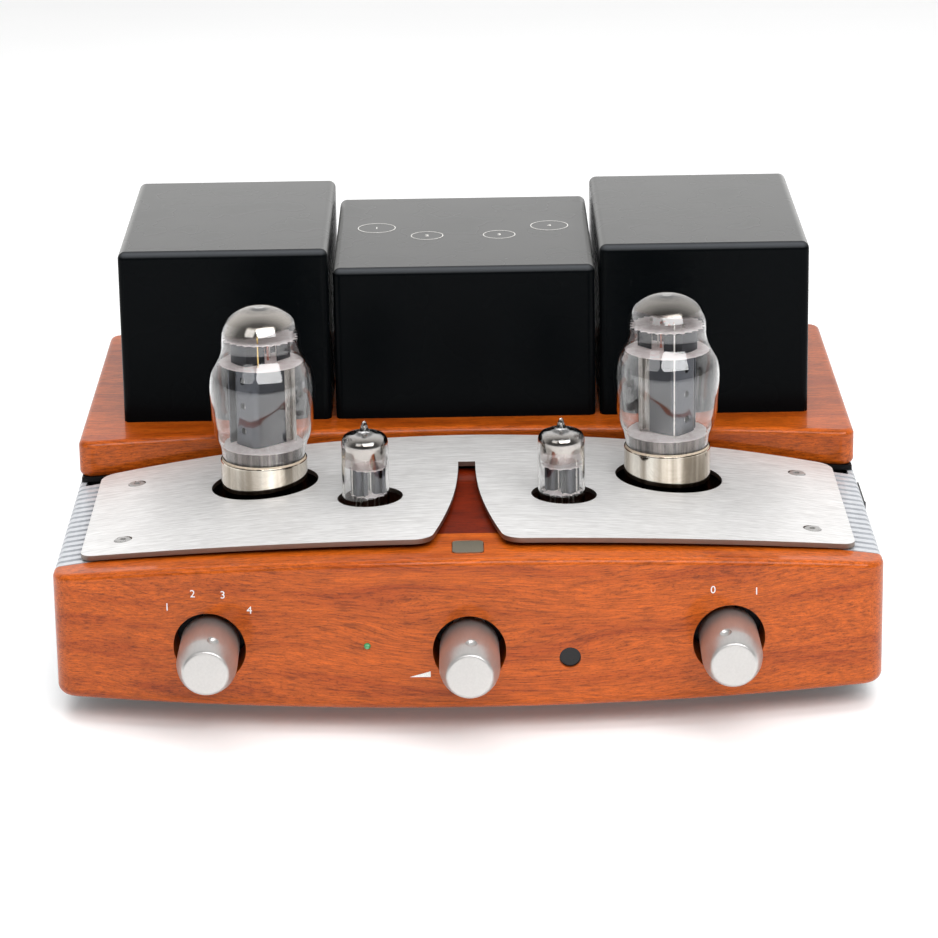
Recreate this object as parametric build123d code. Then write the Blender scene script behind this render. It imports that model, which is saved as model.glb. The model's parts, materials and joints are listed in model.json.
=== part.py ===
from build123d import *
from build123d.topology import SkipClean
from math import cos, sin, sqrt, pi
import os

# Valve amplifier: a wooden front and rear platform, an arched steel top plate with four
# plug-in valves, ribbed side panels, and three black transformer covers.
# Millimetres. +X right, +Y back, +Z up. The origin is on the table, at the middle of the footprint.

# ---- overall ----
HALF_W = 182.0          # half the width of both wooden pieces and the ribbed sides
FOOT_H = 11.5           # the body's clearance over the table
FRONT_Y = -170.0        # the foremost line of the wooden front, at the middle
FRONT_SAG = 23.0        # how far the wooden front's ends stand back from its middle
BACK_OF_FRONT = -134.5  # flat back of the wooden front
REAR_PANEL_Y = 168.0
REAR_END_Y = 201.3      # rear end of the terminal caps

# ---- arched top ----
PLATE_TOP = 85.0        # highest line of the steel plate
PLATE_T = 2.2
PLATE_R = 1150.0        # arch radius of the plate's upper face
PLATE_HALF_W = 170.5
PLATE_STRIPS = 24        # strips its curved faces are divided into
PLATE_SETBACK = 15.8    # strip of the wooden front left in front of the plate
FRONT_TOP = 80.7        # highest line of the wooden front
FRONT_TOP_R = 1300.0
INLAY_TOP = 80.4
POWER_HOLE_R = 24.4
SMALL_HOLE_R = 14.7
POWER_X, POWER_Y = 92.2, -59.5          # holes for the power valves
SMALL_X, SMALL_Y = 43.5, -91.5          # holes for the small valves
PLATE_SCREWS = [(152.6, -38.3), (152.6, -118.2)]
SCREW_HEAD_R, SCREW_SHANK_R = 3.9, 1.6
SCREW_SEAT_DEPTH = 1.3

# ---- rear platform and covers ----
PLATFORM_TOP = 87.1
PLATFORM_T = 17.3
PLATFORM_REAR = 174.5
PLATFORM_ARC_R = 1000.0
PLATFORM_MID_Y = 2.7    # the middle of its hollow front edge
SIDE_COVER = (63.9, 162.7, 18.6, 161.7, 170.0)      # inner X, outer X, front Y, rear Y, top Z
CENTRE_COVER = (61.7, 18.6, 159.6, 160.5)           # half X, front Y, rear Y, top Z
COVER_T = 1.5
COVER_EDGE = 3.5
OUTPUT_X, OUTPUT_Y = 113.3, 90.0        # middle of each output transformer
OUTPUT_CORE = (84.0, 48.0, 72.0)        # width, depth, height of its laminations
CORE_LIMB = 14.0                        # width of the laminations' outer limbs, yokes and windows
MAINS_Y = 89.0                          # middle of the mains transformer
MAINS_R, MAINS_HOLE_R, MAINS_H = 54.0, 17.0, 52.0
CABLE_HOLES = [(-OUTPUT_X, 32, 7), (OUTPUT_X, 32, 7), (0, 28, 7)]   # x, y, radius

# ---- chassis ----
FLOOR_T = 1.5
DECK_Z = 60.5
DECK_T = 1.5
WALL_X = 176.5
SIDE_IN, SIDE_BASE, SIDE_CREST = 178.6, 180.6, 182.0
RIB_PITCH = 6.8
RIB_WIDTH = 3.8
SIDE_REAR_TOP = 67.5
SIDE_FLANGE_X = 159.0   # inner end of the panel's turned-in top
FEET = [(-148, -108), (148, -108), (-148, 142), (148, 142)]
FOOT_R = 12.5
CAPACITOR_R = 16.5
CAPACITOR_PITCH = 50.0
BOARD = (-128.0, 128.0, -74.0, -4.0)    # x0, x1, y0, y1 of the printed board
BOARD_Z = 26.0

# ---- controls ----
KNOB_X = 113.0
KNOB_Z = 39.0
KNOB_R = 13.1
KNOB_FACE_R = 9.8
KNOB_TAPER = 11.0
KNOB_LENGTH = 37.7
KNOB_REACH = 31.3       # how far a knob stands out of the wood
KNOB_HOLE_R = 15.9
SHAFT_R = 3.0
BUSH_R = 4.75
BULKHEAD_Y = -129.0
RUNNING = 0.06          # radial clearance of shafts, pins and threads that move
SELECTOR_ANGLE = 15.0   # the pointer's angle at rest, clockwise from straight up
VOLUME_ANGLE = 4.0
MONITOR_ANGLE = -15.0
DIMPLE_R = 3.0
LED_X, LED_Z, LED_R = -44.2, 41.4, 1.5
WINDOW_X, WINDOW_Z, WINDOW_R = 43.6, 34.7, 4.7
BADGE_X = (-7.0, 7.0)
BADGE_Y = (-161.5, -145.0)
BADGE_DEPTH = 1.6

# ---- mains rocker in the right wall ----
ROCKER_Y, ROCKER_Z = -33.0, 56.0
ROCKER_BODY = (24.8, 13.2, 22.0)        # length, height and depth of the frame's body
ROCKER_TILT = 11.0                      # swing between its two positions, in degrees
PIVOT_R = 1.2

# ---- rear connections ----
JACKS = [(-158 + column * 18, z) for column in range(6) for z in (29, 49)]
JACK_BARREL_R, JACK_HOLE_R = 4.15, 1.65
POSTS_X = (-24, -4, 40, 60)
POST_Z = 39.0
STUD_R = 2.5
CAP_R = 6.8
INLET_X, INLET_Z = 138.0, 39.0

# ---- valves ----
POWER_TUBE_X = {-1: -92.3, 1: 91.5}     # left and right valve, each a little off its hole's middle
SMALL_TUBE_X = {-1: -45.4, 1: 42.4}
OCTAL_SEAT = 72.0
OCTAL_PIN_PCR = 8.73
OCTAL_PIN_R = 1.18
NOVAL_SEAT = 70.5
NOVAL_PIN_PCR = 5.94
NOVAL_PIN_R = 0.5
# radius and height over the seat, up the side of the power valve's bulb
POWER_GLASS = [(17.8, 16.2), (18.5, 21.5), (19.9, 28.5), (21.5, 32.5), (22.8, 38.0), (23.6, 45.0),
               (24.1, 51.0), (24.15, 57.0), (23.2, 62.5), (21.2, 66.5), (19.1, 70.5), (18.2, 74.0),
               (18.1, 78.0)]
POWER_DOME_H = 15.0
POWER_WALL = 1.1
SMALL_GLASS_R = 10.65

BODY_BOTTOM = FOOT_H
DECK_TOP = DECK_Z + DECK_T
BADGE_FLOOR = FRONT_TOP - BADGE_DEPTH
INSIDE_Y = BACK_OF_FRONT + 0.2          # front of everything that stands behind the wooden front
TERMINAL_Y = REAR_PANEL_Y + 2           # outer face of the rear panel
ROCKER_PIVOT_X = SIDE_CREST - 2.5
PANEL_CENTRE_Y = FRONT_Y + (HALF_W**2 + FRONT_SAG**2) / (2 * FRONT_SAG)
PANEL_R = PANEL_CENTRE_Y - FRONT_Y
PLATFORM_CENTRE_Y = PLATFORM_MID_Y - PLATFORM_ARC_R

nodes = {}


# ---- small helpers ----
def block(x0, x1, y0, y1, z0, z1):
    """A box given by its limits."""
    middle = Pos((x0 + x1) / 2, (y0 + y1) / 2, (z0 + z1) / 2)
    return middle * Box(x1 - x0, y1 - y0, z1 - z0)


def post(x, y, z0, z1, r):
    """An upright cylinder."""
    return Pos(x, y, (z0 + z1) / 2) * Cylinder(r, z1 - z0)


def rod_y(x, z, y0, y1, r):
    """A cylinder along Y."""
    return Pos(x, (y0 + y1) / 2, z) * Rot(90, 0, 0) * Cylinder(r, y1 - y0)


def rod_x(y, z, x0, x1, r):
    """A cylinder along X."""
    return Pos((x0 + x1) / 2, y, z) * Rot(0, 90, 0) * Cylinder(r, x1 - x0)


def arch(top, r):
    """Everything under an arch that runs along Y, as one long cylinder."""
    return rod_y(0, top - r, -400, 400, r)


def arch_z(top, r, x):
    """Height of such an arch at x."""
    return top - r + sqrt(r**2 - x**2)


def front_y(x):
    """Face of the wooden front at x."""
    return PANEL_CENTRE_Y - sqrt(PANEL_R**2 - x**2)


def rocker_block(clearance, depth):
    """The rocker frame's body, grown by a clearance on its four sides, in the right wall."""
    length, height, _ = ROCKER_BODY
    half_y, half_z = length / 2 + clearance, height / 2 + clearance
    return block(SIDE_CREST - depth, SIDE_CREST, ROCKER_Y - half_y, ROCKER_Y + half_y,
                 ROCKER_Z - half_z, ROCKER_Z + half_z)


def upright(solid):
    """The solid's vertical edges."""
    return solid.edges().filter_by(Axis.Z)


def around(x, y, count, r, start=0.0):
    """Points on a circle, as (x, y)."""
    for i in range(count):
        a = 2 * pi * i / count + start
        yield x + r * cos(a), y + r * sin(a)


def keep(name, shape):
    """Store one node, as one shape or a group of separate solids."""
    shape.label = name
    nodes[name] = shape


def both(name, make):
    """Make the left and the right copy of a piece."""
    for side, sign in (("left", -1), ("right", 1)):
        keep(name.format(side), make(sign))


def turned(points, x, y, z):
    """A solid of revolution about an upright axis, from (radius, height) points."""
    outline = Polyline(*[(r, 0, h) for r, h in points], close=True)
    return Pos(x, y, z) * revolve(make_face(outline), Axis.Z)


# ---- wooden front, arched top plate and the wood under its notch ----
def front_panel():
    outer = ThreePointArc((-HALF_W, front_y(HALF_W)), (0, FRONT_Y), (HALF_W, front_y(HALF_W)))
    rest = Polyline(outer @ 1, (HALF_W, BACK_OF_FRONT), (-HALF_W, BACK_OF_FRONT), outer @ 0)
    panel = Pos(0, 0, BODY_BOTTOM) * extrude(make_face([outer, rest]), 100)
    ends = [e for e in upright(panel) if e.center().Y < BACK_OF_FRONT - 5]
    panel = fillet(ends, 10.5)
    panel = panel & arch(FRONT_TOP, FRONT_TOP_R)
    top = panel.faces().sort_by(Axis.Z)[-1]
    lip = [e for e in top.edges() if e.center().Y < BACK_OF_FRONT - 1]
    panel = fillet(lip, 2.6)
    bottom = panel.faces().sort_by(Axis.Z)[0]
    panel = fillet([e for e in bottom.edges() if e.center().Y < BACK_OF_FRONT - 1], 4.5)
    for x in (-KNOB_X, 0, KNOB_X):
        panel = panel - rod_y(x, KNOB_Z, -220, -100, KNOB_HOLE_R)
    panel = panel - rod_y(LED_X, LED_Z, -220, -100, LED_R + 0.05)
    panel = panel - rod_y(WINDOW_X, WINDOW_Z, -220, -100, WINDOW_R)
    badge = block(*BADGE_X, *BADGE_Y, BADGE_FLOOR, 100)
    return panel - fillet(upright(badge), 2.5)


def notch():
    """Outline of the plate's bell-shaped notch, from its narrow rear end to past the front edge."""
    side = [(3.9, -44.5), (4.7, -75.0), (6.6, -98.0), (9.7, -120.0), (14.2, -144.0), (19.5, -165.0)]
    right = Spline(*side)
    left = Spline(*[(-x, y) for x, y in side])
    rear = Line(left @ 0, right @ 0)
    front = Line(left @ 1, right @ 1)
    return make_face([right, left, rear, front])


def arched_sheet():
    """The plate's thickness over the whole width, its two curved faces divided into strips."""
    step = HALF_W / PLATE_STRIPS
    edges = []
    for top, r in ((PLATE_TOP, PLATE_R), (PLATE_TOP - PLATE_T, PLATE_R - PLATE_T)):
        across = [i * step - HALF_W for i in range(2 * PLATE_STRIPS + 1)]
        line = [(x, arch_z(top, r, x)) for x in across]
        edges += [ThreePointArc(*line[i:i + 3]) for i in range(0, 2 * PLATE_STRIPS, 2)]
    upper, lower = edges[:PLATE_STRIPS], edges[PLATE_STRIPS:]
    ends = [Line(upper[0] @ 0, lower[0] @ 0), Line(upper[-1] @ 1, lower[-1] @ 1)]
    section = Plane.XZ * make_face(upper + lower + ends)
    return extrude(section, 250, both=True, clean=False)


def top_plate():
    y_front = PANEL_CENTRE_Y - sqrt((PANEL_R - PLATE_SETBACK) ** 2 - PLATE_HALF_W**2)
    front_mid = FRONT_Y + PLATE_SETBACK
    rear_r = PLATFORM_ARC_R - 6
    y_rear = PLATFORM_CENTRE_Y + sqrt(rear_r**2 - PLATE_HALF_W**2)
    front = ThreePointArc((-PLATE_HALF_W, y_front), (0, front_mid), (PLATE_HALF_W, y_front))
    rear_mid = PLATFORM_CENTRE_Y + rear_r
    rear = ThreePointArc((PLATE_HALF_W, y_rear), (0, rear_mid), (-PLATE_HALF_W, y_rear))
    outline = make_face([front, Line(front @ 1, rear @ 0), rear, Line(rear @ 1, front @ 0)]) - notch()
    outline = fillet([v for v in outline.vertices() if abs(v.X) > 100], 8)
    outline = fillet([v for v in outline.vertices() if v.Y < -140 and abs(v.X) < 30], 9)
    for sign in (-1, 1):
        outline = outline - Pos(sign * POWER_X, POWER_Y) * Circle(POWER_HOLE_R)
        outline = outline - Pos(sign * SMALL_X, SMALL_Y) * Circle(SMALL_HOLE_R)
        for x, y in PLATE_SCREWS:
            outline = outline - Pos(sign * x, y) * Circle(SCREW_SHANK_R + 0.2)
    sheet = Pos(0, 0, 50) * extrude(outline, 50)
    with SkipClean():
        plate = sheet & arched_sheet()
        for sign in (-1, 1):
            for x, y in PLATE_SCREWS:
                top = arch_z(PLATE_TOP, PLATE_R, x)
                plate = plate - post(sign * x, y, top - SCREW_SEAT_DEPTH, 100, SCREW_HEAD_R + 0.2)
    return plate


def plate_screws():
    """Button-headed screws with a hexagon socket, seated in the plate and down in the deck's posts."""
    screws = []
    for sign in (-1, 1):
        for x, y in PLATE_SCREWS:
            seat = arch_z(PLATE_TOP, PLATE_R, x) - SCREW_SEAT_DEPTH
            head = post(sign * x, y, seat, seat + 1.5, SCREW_HEAD_R)
            rim = head.edges().filter_by(GeomType.CIRCLE).sort_by(Axis.Z)[-1]
            head = chamfer(rim, 0.5)
            shank = post(sign * x, y, seat - 10.5, seat, SCREW_SHANK_R)
            socket = Pos(sign * x, y, seat + 0.4) * extrude(RegularPolygon(1.5, 6), 2)
            screws.append(head + shank - socket)
    return Compound(children=screws)


def channel_inlay():
    """Wooden block seen through the notch, set a little below the wooden front."""
    return block(-21, 21, INSIDE_Y, -40, DECK_TOP, INLAY_TOP)


# ---- wooden rear platform and its black spacer ----
def platform_outline(inset, y_rear):
    r = PLATFORM_ARC_R + inset
    x = HALF_W - inset
    y = PLATFORM_CENTRE_Y + sqrt(r**2 - x**2)
    front = ThreePointArc((-x, y), (0, PLATFORM_CENTRE_Y + r), (x, y))
    return make_face([front, Polyline(front @ 1, (x, y_rear), (-x, y_rear), front @ 0)])


def rear_platform():
    bottom = PLATFORM_TOP - PLATFORM_T
    slab = Pos(0, 0, bottom) * extrude(platform_outline(0, PLATFORM_REAR), PLATFORM_T)
    slab = fillet(upright(slab), 6)
    rims = slab.faces().sort_by(Axis.Z)[-1].edges() + slab.faces().sort_by(Axis.Z)[0].edges()
    slab = fillet(rims, 2.8)
    for x, y, r in CABLE_HOLES:
        slab = slab - post(x, y, 50, 100, r)
    return slab


def platform_spacer():
    low, high = DECK_TOP, PLATFORM_TOP - PLATFORM_T
    upper = Pos(0, 0, SIDE_REAR_TOP) * extrude(platform_outline(1.2, 166.5), high - SIDE_REAR_TOP)
    lower = Pos(0, 0, low) * extrude(platform_outline(5, 164), SIDE_REAR_TOP - low)
    hollow = Pos(0, 0, low - 1) * extrude(platform_outline(18, 152), high - low + 2)
    return upper + lower - hollow


# ---- ribbed side panels ----
def side_section(sign, reach):
    """Cross-section of a side panel whose outer skin stands `reach` outside the base skin."""
    crest_top = PLATE_TOP - PLATE_T - 2.2 + reach
    r = PLATE_R - PLATE_T - 2.2 + reach
    x_out = SIDE_BASE + reach
    z_out = arch_z(crest_top, r, x_out)
    z_in = arch_z(crest_top, r, SIDE_FLANGE_X)
    top = ThreePointArc((SIDE_FLANGE_X, z_in), (170, arch_z(crest_top, r, 170)), (x_out, z_out))
    rest = Polyline(top @ 1, (x_out, BODY_BOTTOM), (SIDE_IN, BODY_BOTTOM), (SIDE_IN, z_out - 2),
                    (SIDE_FLANGE_X, z_in - 2 - reach), top @ 0)
    face = make_face([top, rest])
    corner = face.vertices().sort_by(Axis.X)[-2:].sort_by(Axis.Y)[-1]
    face = fillet(corner, 3.0)
    face = Plane.XZ * face
    return face if sign > 0 else mirror(face, Plane.YZ)


def side_panel(sign):
    y0, y1 = INSIDE_Y, REAR_PANEL_Y
    base = Pos(0, y1, 0) * extrude(side_section(sign, 0.0), y1 - y0)
    crest = side_section(sign, SIDE_CREST - SIDE_BASE)
    count = int((y1 - y0) / RIB_PITCH)
    start = y0 + RIB_WIDTH + (y1 - y0 - count * RIB_PITCH) / 2
    ribs = [Pos(0, start + i * RIB_PITCH, 0) * extrude(crest, RIB_WIDTH) for i in range(count)]
    panel = base + ribs
    rear_start = PLATFORM_MID_Y - 22
    panel = panel - block(-200, 200, rear_start, 200, SIDE_REAR_TOP, 120)
    panel = panel - block(-SIDE_IN, SIDE_IN, rear_start, 200, BODY_BOTTOM, 120)
    return panel - rocker_block(0.2, 12) if sign > 0 else panel


# ---- steel chassis ----
def chassis_tray():
    x, y0, y1 = SIDE_IN, INSIDE_Y, REAR_PANEL_Y
    tray = block(-x, x, y0, y1, BODY_BOTTOM, BODY_BOTTOM + FLOOR_T)
    for sign in (-1, 1):
        near, far = sorted((sign * WALL_X, sign * (WALL_X + 1.5)))
        tray = tray + block(near, far, BULKHEAD_Y, y1, BODY_BOTTOM, DECK_Z)
    tray = tray + block(-WALL_X - 1.5, WALL_X + 1.5, BULKHEAD_Y - 1.5, BULKHEAD_Y, BODY_BOTTOM, DECK_Z)
    for knob_x in (-KNOB_X, 0, KNOB_X):
        tray = tray - rod_y(knob_x, KNOB_Z, BULKHEAD_Y - 10, BULKHEAD_Y + 10, BUSH_R)
    tray = tray - rod_y(LED_X, LED_Z, BULKHEAD_Y - 10, BULKHEAD_Y + 10, 3)
    tray = tray - rod_y(WINDOW_X, WINDOW_Z, BULKHEAD_Y - 10, BULKHEAD_Y + 10, 3)
    slot = Pos(0, 0, BODY_BOTTOM - 5) * extrude(SlotOverall(40, 3.5), 20)
    for sign in (-1, 1):
        for row in range(7):
            tray = tray - Pos(sign * 70, -80 + row * 10, 0) * slot
            tray = tray - Pos(sign * 70, 50 + row * 10, 0) * slot
    for x, y in FEET:
        tray = tray - post(x, y, 0, 30, 2.1)
    return tray - rocker_block(0.2, 12)


def tube_deck():
    x = SIDE_IN - 0.3
    deck = block(-x, x, BULKHEAD_Y - 1.5, REAR_PANEL_Y, DECK_Z, DECK_TOP)
    for sign in (-1, 1):
        deck = deck - post(POWER_TUBE_X[sign], POWER_Y, 50, 70, 14.4)
        deck = deck - post(SMALL_TUBE_X[sign], SMALL_Y, 50, 70, 10.1)
        for px, py in PLATE_SCREWS:
            under = arch_z(PLATE_TOP - PLATE_T, PLATE_R - PLATE_T, px + 4)
            deck = deck + post(sign * px, py, DECK_Z, under, 3.6)
            deck = deck - post(sign * px, py, DECK_Z - 5, 90, 1.6)
    for hx, hy, r in CABLE_HOLES:
        deck = deck - post(hx, hy, 50, 70, r)
    return deck - block(SIDE_CREST - 23, SIDE_CREST, ROCKER_Y - 14, ROCKER_Y + 14, 50, 70)


def rear_panel():
    panel = block(-SIDE_BASE, SIDE_BASE, REAR_PANEL_Y, TERMINAL_Y, BODY_BOTTOM, SIDE_REAR_TOP)
    for x, z in JACKS:
        panel = panel - rod_y(x, z, 150, 190, 5.0)
    for x in POSTS_X:
        panel = panel - rod_y(x, POST_Z, 150, 190, 4.0)
    return panel - block(INLET_X - 13.8, INLET_X + 13.8, 150, 190, INLET_Z - 16, INLET_Z + 16)


def feet():
    pads = []
    for x, y in FEET:
        pad = Pos(x, y, 0) * extrude(Circle(FOOT_R), BODY_BOTTOM)
        pad = chamfer(pad.edges().sort_by(Axis.Z)[0], 1.5)
        pads.append(pad - post(x, y, -1, 5, 4.5) - post(x, y, -1, 30, 2.1))
    return Compound(children=pads)


# ---- transformers under black covers ----
def cover(x0, x1, y0, y1, top):
    base = PLATFORM_TOP
    shell = block(x0, x1, y0, y1, base, top)
    outer = [e for e in shell.edges() if e.center().Z > base + 1]
    shell = fillet(outer, COVER_EDGE)
    room = block(x0 + COVER_T, x1 - COVER_T, y0 + COVER_T, y1 - COVER_T, base - 1, top - COVER_T)
    inner = [e for e in room.edges() if e.center().Z > base]
    return shell - fillet(inner, COVER_EDGE - COVER_T)


def side_cover(sign):
    x0, x1, y0, y1, top = SIDE_COVER
    return cover(x0, x1, y0, y1, top) if sign > 0 else cover(-x1, -x0, y0, y1, top)


def output_core(sign):
    """E-I laminations: a block with two windows that the winding passes through."""
    width, depth, height = OUTPUT_CORE
    x, y, z0 = sign * OUTPUT_X, OUTPUT_Y, PLATFORM_TOP
    core = block(x - width / 2, x + width / 2, y - depth / 2, y + depth / 2, z0, z0 + height)
    for side in (-1, 1):
        near = x + side * width / 4 - CORE_LIMB / 2
        core = core - block(near, near + CORE_LIMB, y - 40, y + 40,
                            z0 + CORE_LIMB, z0 + height - CORE_LIMB)
    return core


def output_winding(sign):
    """Coil round the middle limb, 0.4 clear of the laminations on every side."""
    width, depth, height = OUTPUT_CORE
    x, y, z0 = sign * OUTPUT_X, OUTPUT_Y, PLATFORM_TOP
    half_x, half_y = width / 2 - CORE_LIMB - 0.4, depth / 2 + 13.6
    coil = block(x - half_x, x + half_x, y - half_y, y + half_y,
                 z0 + CORE_LIMB + 0.4, z0 + height - CORE_LIMB - 0.4)
    coil = fillet(upright(coil), 6)
    limb_x, limb_y = CORE_LIMB + 0.4, depth / 2 + 0.4
    return coil - block(x - limb_x, x + limb_x, y - limb_y, y + limb_y, z0, z0 + height)


def mains_transformer():
    """Toroid with an outer wrap, clamped by a dished washer and a central bolt."""
    y, z0, z1 = MAINS_Y, PLATFORM_TOP, PLATFORM_TOP + MAINS_H
    ring = post(0, y, z0, z1, MAINS_R) - post(0, y, z0 - 1, z1 + 1, MAINS_HOLE_R)
    ring = fillet(ring.edges().filter_by(GeomType.CIRCLE), 8)
    washer = post(0, y, z1, z1 + 2, 26) + post(0, y, z0, z1 + 8, 4)
    return Compound(children=[ring, washer])


# ---- valve sockets ----
def octal_socket(sign):
    x, y = POWER_TUBE_X[sign], POWER_Y
    body = post(x, y, DECK_TOP, OCTAL_SEAT, 16.5) + post(x, y, 48, DECK_TOP, 14.3)
    body = body - post(x, y, 50, 80, 4.06)
    for px, py in around(x, y, 8, OCTAL_PIN_PCR, pi / 8):
        body = body - post(px, py, 58, 80, OCTAL_PIN_R + RUNNING)
    return body


def noval_socket(sign):
    x, y = SMALL_TUBE_X[sign], SMALL_Y
    body = post(x, y, DECK_TOP, NOVAL_SEAT - 0.2, 11.2) + post(x, y, 50, DECK_TOP, 10.0)
    body = body - post(x, y, 45, 80, 1.5)
    for px, py in noval_pins(x, y):
        body = body - post(px, py, 60, 80, NOVAL_PIN_R + RUNNING)
    return body


def noval_pins(x, y):
    """Nine of ten places, with the gap towards the rear."""
    return list(around(x, y, 10, NOVAL_PIN_PCR, pi / 2))[1:]


# ---- power valves ----
def glass_outline(inset):
    """Half-section of the power valve's envelope, shrunk by the wall thickness."""
    side = [(r - inset, 0, h + (inset if i == 0 else 0)) for i, (r, h) in enumerate(POWER_GLASS)]
    wall = Spline(*side)
    r, top = side[-1][0], side[-1][2]
    height = POWER_DOME_H - inset
    dome = Spline((r, 0, top), (r * 0.72, 0, top + height * 0.72), (0, 0, top + height),
                  tangents=[(0, 0, 1), (-1, 0, 0)])
    rest = Polyline(dome @ 1, (0, 0, side[0][2]), wall @ 0)
    return revolve(make_face([wall, dome, rest]), Axis.Z)


def power_glass(sign):
    bulb = glass_outline(0) - glass_outline(POWER_WALL)
    return Pos(POWER_TUBE_X[sign], POWER_Y, OCTAL_SEAT) * bulb


def power_collar(sign):
    """Thin metal cup round the foot of the bulb."""
    outside = [(16.7, 6.7), (18.6, 6.7), (19.75, 7.9), (19.75, 21.5)]
    inside = [(19.0, 21.5), (19.0, 8.3), (16.7, 7.7)]
    return turned(outside + inside, POWER_TUBE_X[sign], POWER_Y, OCTAL_SEAT)


def power_base(sign):
    """Moulded base with its keyed spigot and eight pins."""
    x, y, z = POWER_TUBE_X[sign], POWER_Y, OCTAL_SEAT
    base = post(x, y, z, z + 16, 16.5) + post(x, y, z - 13, z, 3.95)
    pins = [post(px, py, z - 11, z, OCTAL_PIN_R) for px, py in around(x, y, 8, OCTAL_PIN_PCR, pi / 8)]
    return base + pins


def power_electrodes(sign):
    """Anode box with side holes, three mica discs, support rods and the getter plate."""
    x, y, z = POWER_TUBE_X[sign], POWER_Y, OCTAL_SEAT
    box = block(x - 13, x + 13, y - 9, y + 9, z + 29, z + 67)
    box = fillet(upright(box), 5)
    box = box - block(x - 7, x + 7, y - 7.5, y + 7.5, z + 28, z + 69)
    for level in (38, 49.5, 61):
        box = box - rod_y(x, z + level, y - 20, y + 20, 2.2)
    group = box
    for level, r in ((28.0, 18.0), (67.0, 18.4), (78.0, 15.6)):
        group = group + post(x, y, z + level, z + level + 1.0, r)
    for px in (-10, 10):
        group = group + post(x + px, y, z + 17.4, z + 81, 0.9)
    return group


# ---- small valves ----
def small_glass(sign):
    x, y = SMALL_TUBE_X[sign], SMALL_Y
    r = SMALL_GLASS_R
    outer = [(0, 0), (r - 1.5, 0), (r, 1.5), (r, 38.5), (r * 0.93, 41.2), (r * 0.72, 43.2), (3.2, 44.4),
             (2.4, 46.2), (1.6, 48.2), (0.6, 49.2), (0, 49.2)]
    inner = [(0, 1.6), (r - 2.2, 1.6), (r - 1.0, 2.6), (r - 1.0, 38.3), (r * 0.93 - 0.9, 40.4),
             (r * 0.72 - 0.6, 42.2), (2.0, 43.3), (0, 43.6)]
    bulb = turned(outer, x, y, NOVAL_SEAT) - turned(inner, x, y, NOVAL_SEAT)
    for px, py in noval_pins(x, y):
        bulb = bulb - post(px, py, NOVAL_SEAT - 1, NOVAL_SEAT + 3, 0.55)
    return bulb


def small_electrodes(sign):
    """Nine pins, two mica discs, two anodes, their rods and the getter ring."""
    x, y, z = SMALL_TUBE_X[sign], SMALL_Y, NOVAL_SEAT
    group = post(x, y, z + 15.0, z + 15.8, 9.0) + post(x, y, z + 27.2, z + 28.0, 9.0)
    for side in (-1, 1):
        shell = block(x + side * 4.2 - 3.2, x + side * 4.2 + 3.2, y - 5, y + 5, z + 15.8, z + 27.2)
        shell = fillet(upright(shell), 1.5)
        group = group + (shell - post(x + side * 4.2, y, z + 17, z + 26, 2.2))
    for px, py in noval_pins(x, y):
        group = group + post(px, py, z - 7, z + 15.0, NOVAL_PIN_R)
    group = group + post(x, y, z + 28.0, z + 38.5, 0.5)
    group = group + block(x - 4, x + 4, y - 0.4, y + 0.4, z + 38.1, z + 38.9)
    return group + Pos(x, y, z + 38.5) * Torus(4.0, 0.6)


# ---- knobs, shafts and the switches behind them ----
def knob(x, angle):
    """Turned metal knob with a tapered nose, a flat face and a dimple that points."""
    front = front_y(x) - KNOB_REACH
    back = front + KNOB_LENGTH
    nose = [(0, 0), (KNOB_FACE_R - 0.5, 0), (KNOB_FACE_R, 0.3), (11.6, 4.2), (12.7, 7.8)]
    barrel = [(KNOB_R, KNOB_TAPER), (KNOB_R, 16), (KNOB_R - 0.2, KNOB_LENGTH), (0, KNOB_LENGTH)]
    body = Pos(x, front, KNOB_Z) * Rot(-90, 0, 0) * turned(nose + barrel, 0, 0, 0)
    body = body - rod_y(x, KNOB_Z, back - 16, back + 1, SHAFT_R + 0.02)
    a = angle * pi / 180
    dimple = Pos(x + 14.4 * sin(a), front + 7.6, KNOB_Z + 14.4 * cos(a)) * Sphere(DIMPLE_R)
    return body - dimple


def shaft(x):
    back = front_y(x) - KNOB_REACH + KNOB_LENGTH
    return rod_y(x, KNOB_Z, back - 15.5, BULKHEAD_Y + 14, SHAFT_R)


def rotary_body(x, r, depth):
    """Body of a rotary control with the threaded bush and nut that hold it to the bulkhead."""
    body = rod_y(x, KNOB_Z, BULKHEAD_Y, BULKHEAD_Y + depth, r)
    body = body + rod_y(x, KNOB_Z, BULKHEAD_Y - 5.4, BULKHEAD_Y, BUSH_R)
    nut = Pos(x, BULKHEAD_Y - 1.6, KNOB_Z) * (Plane.XZ * extrude(RegularPolygon(7.0, 6), 2.4))
    body = body + nut
    return body - rod_y(x, KNOB_Z, BULKHEAD_Y - 30, BULKHEAD_Y + 14.5, SHAFT_R + RUNNING)


def volume_pot():
    """Motor-driven potentiometer, so that a remote control can turn it."""
    body = rotary_body(0, 12.5, 18)
    gearbox = block(-13, 13, BULKHEAD_Y + 18, BULKHEAD_Y + 26, KNOB_Z - 16, KNOB_Z + 13)
    return body + gearbox + rod_y(0, KNOB_Z, BULKHEAD_Y + 26, BULKHEAD_Y + 50, 11)


# ---- front trim ----
def led():
    y = front_y(LED_X)
    body = rod_y(LED_X, LED_Z, y + 0.4, BULKHEAD_Y + 4, LED_R)
    body = body + Pos(LED_X, y + 0.4, LED_Z) * Sphere(LED_R)
    return body + rod_y(LED_X, LED_Z, BULKHEAD_Y + 2.5, BULKHEAD_Y + 4, 2.9)


def ir_window():
    y = front_y(WINDOW_X)
    return rod_y(WINDOW_X, WINDOW_Z, y + 1.6, y + 9, WINDOW_R - 0.05)


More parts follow.
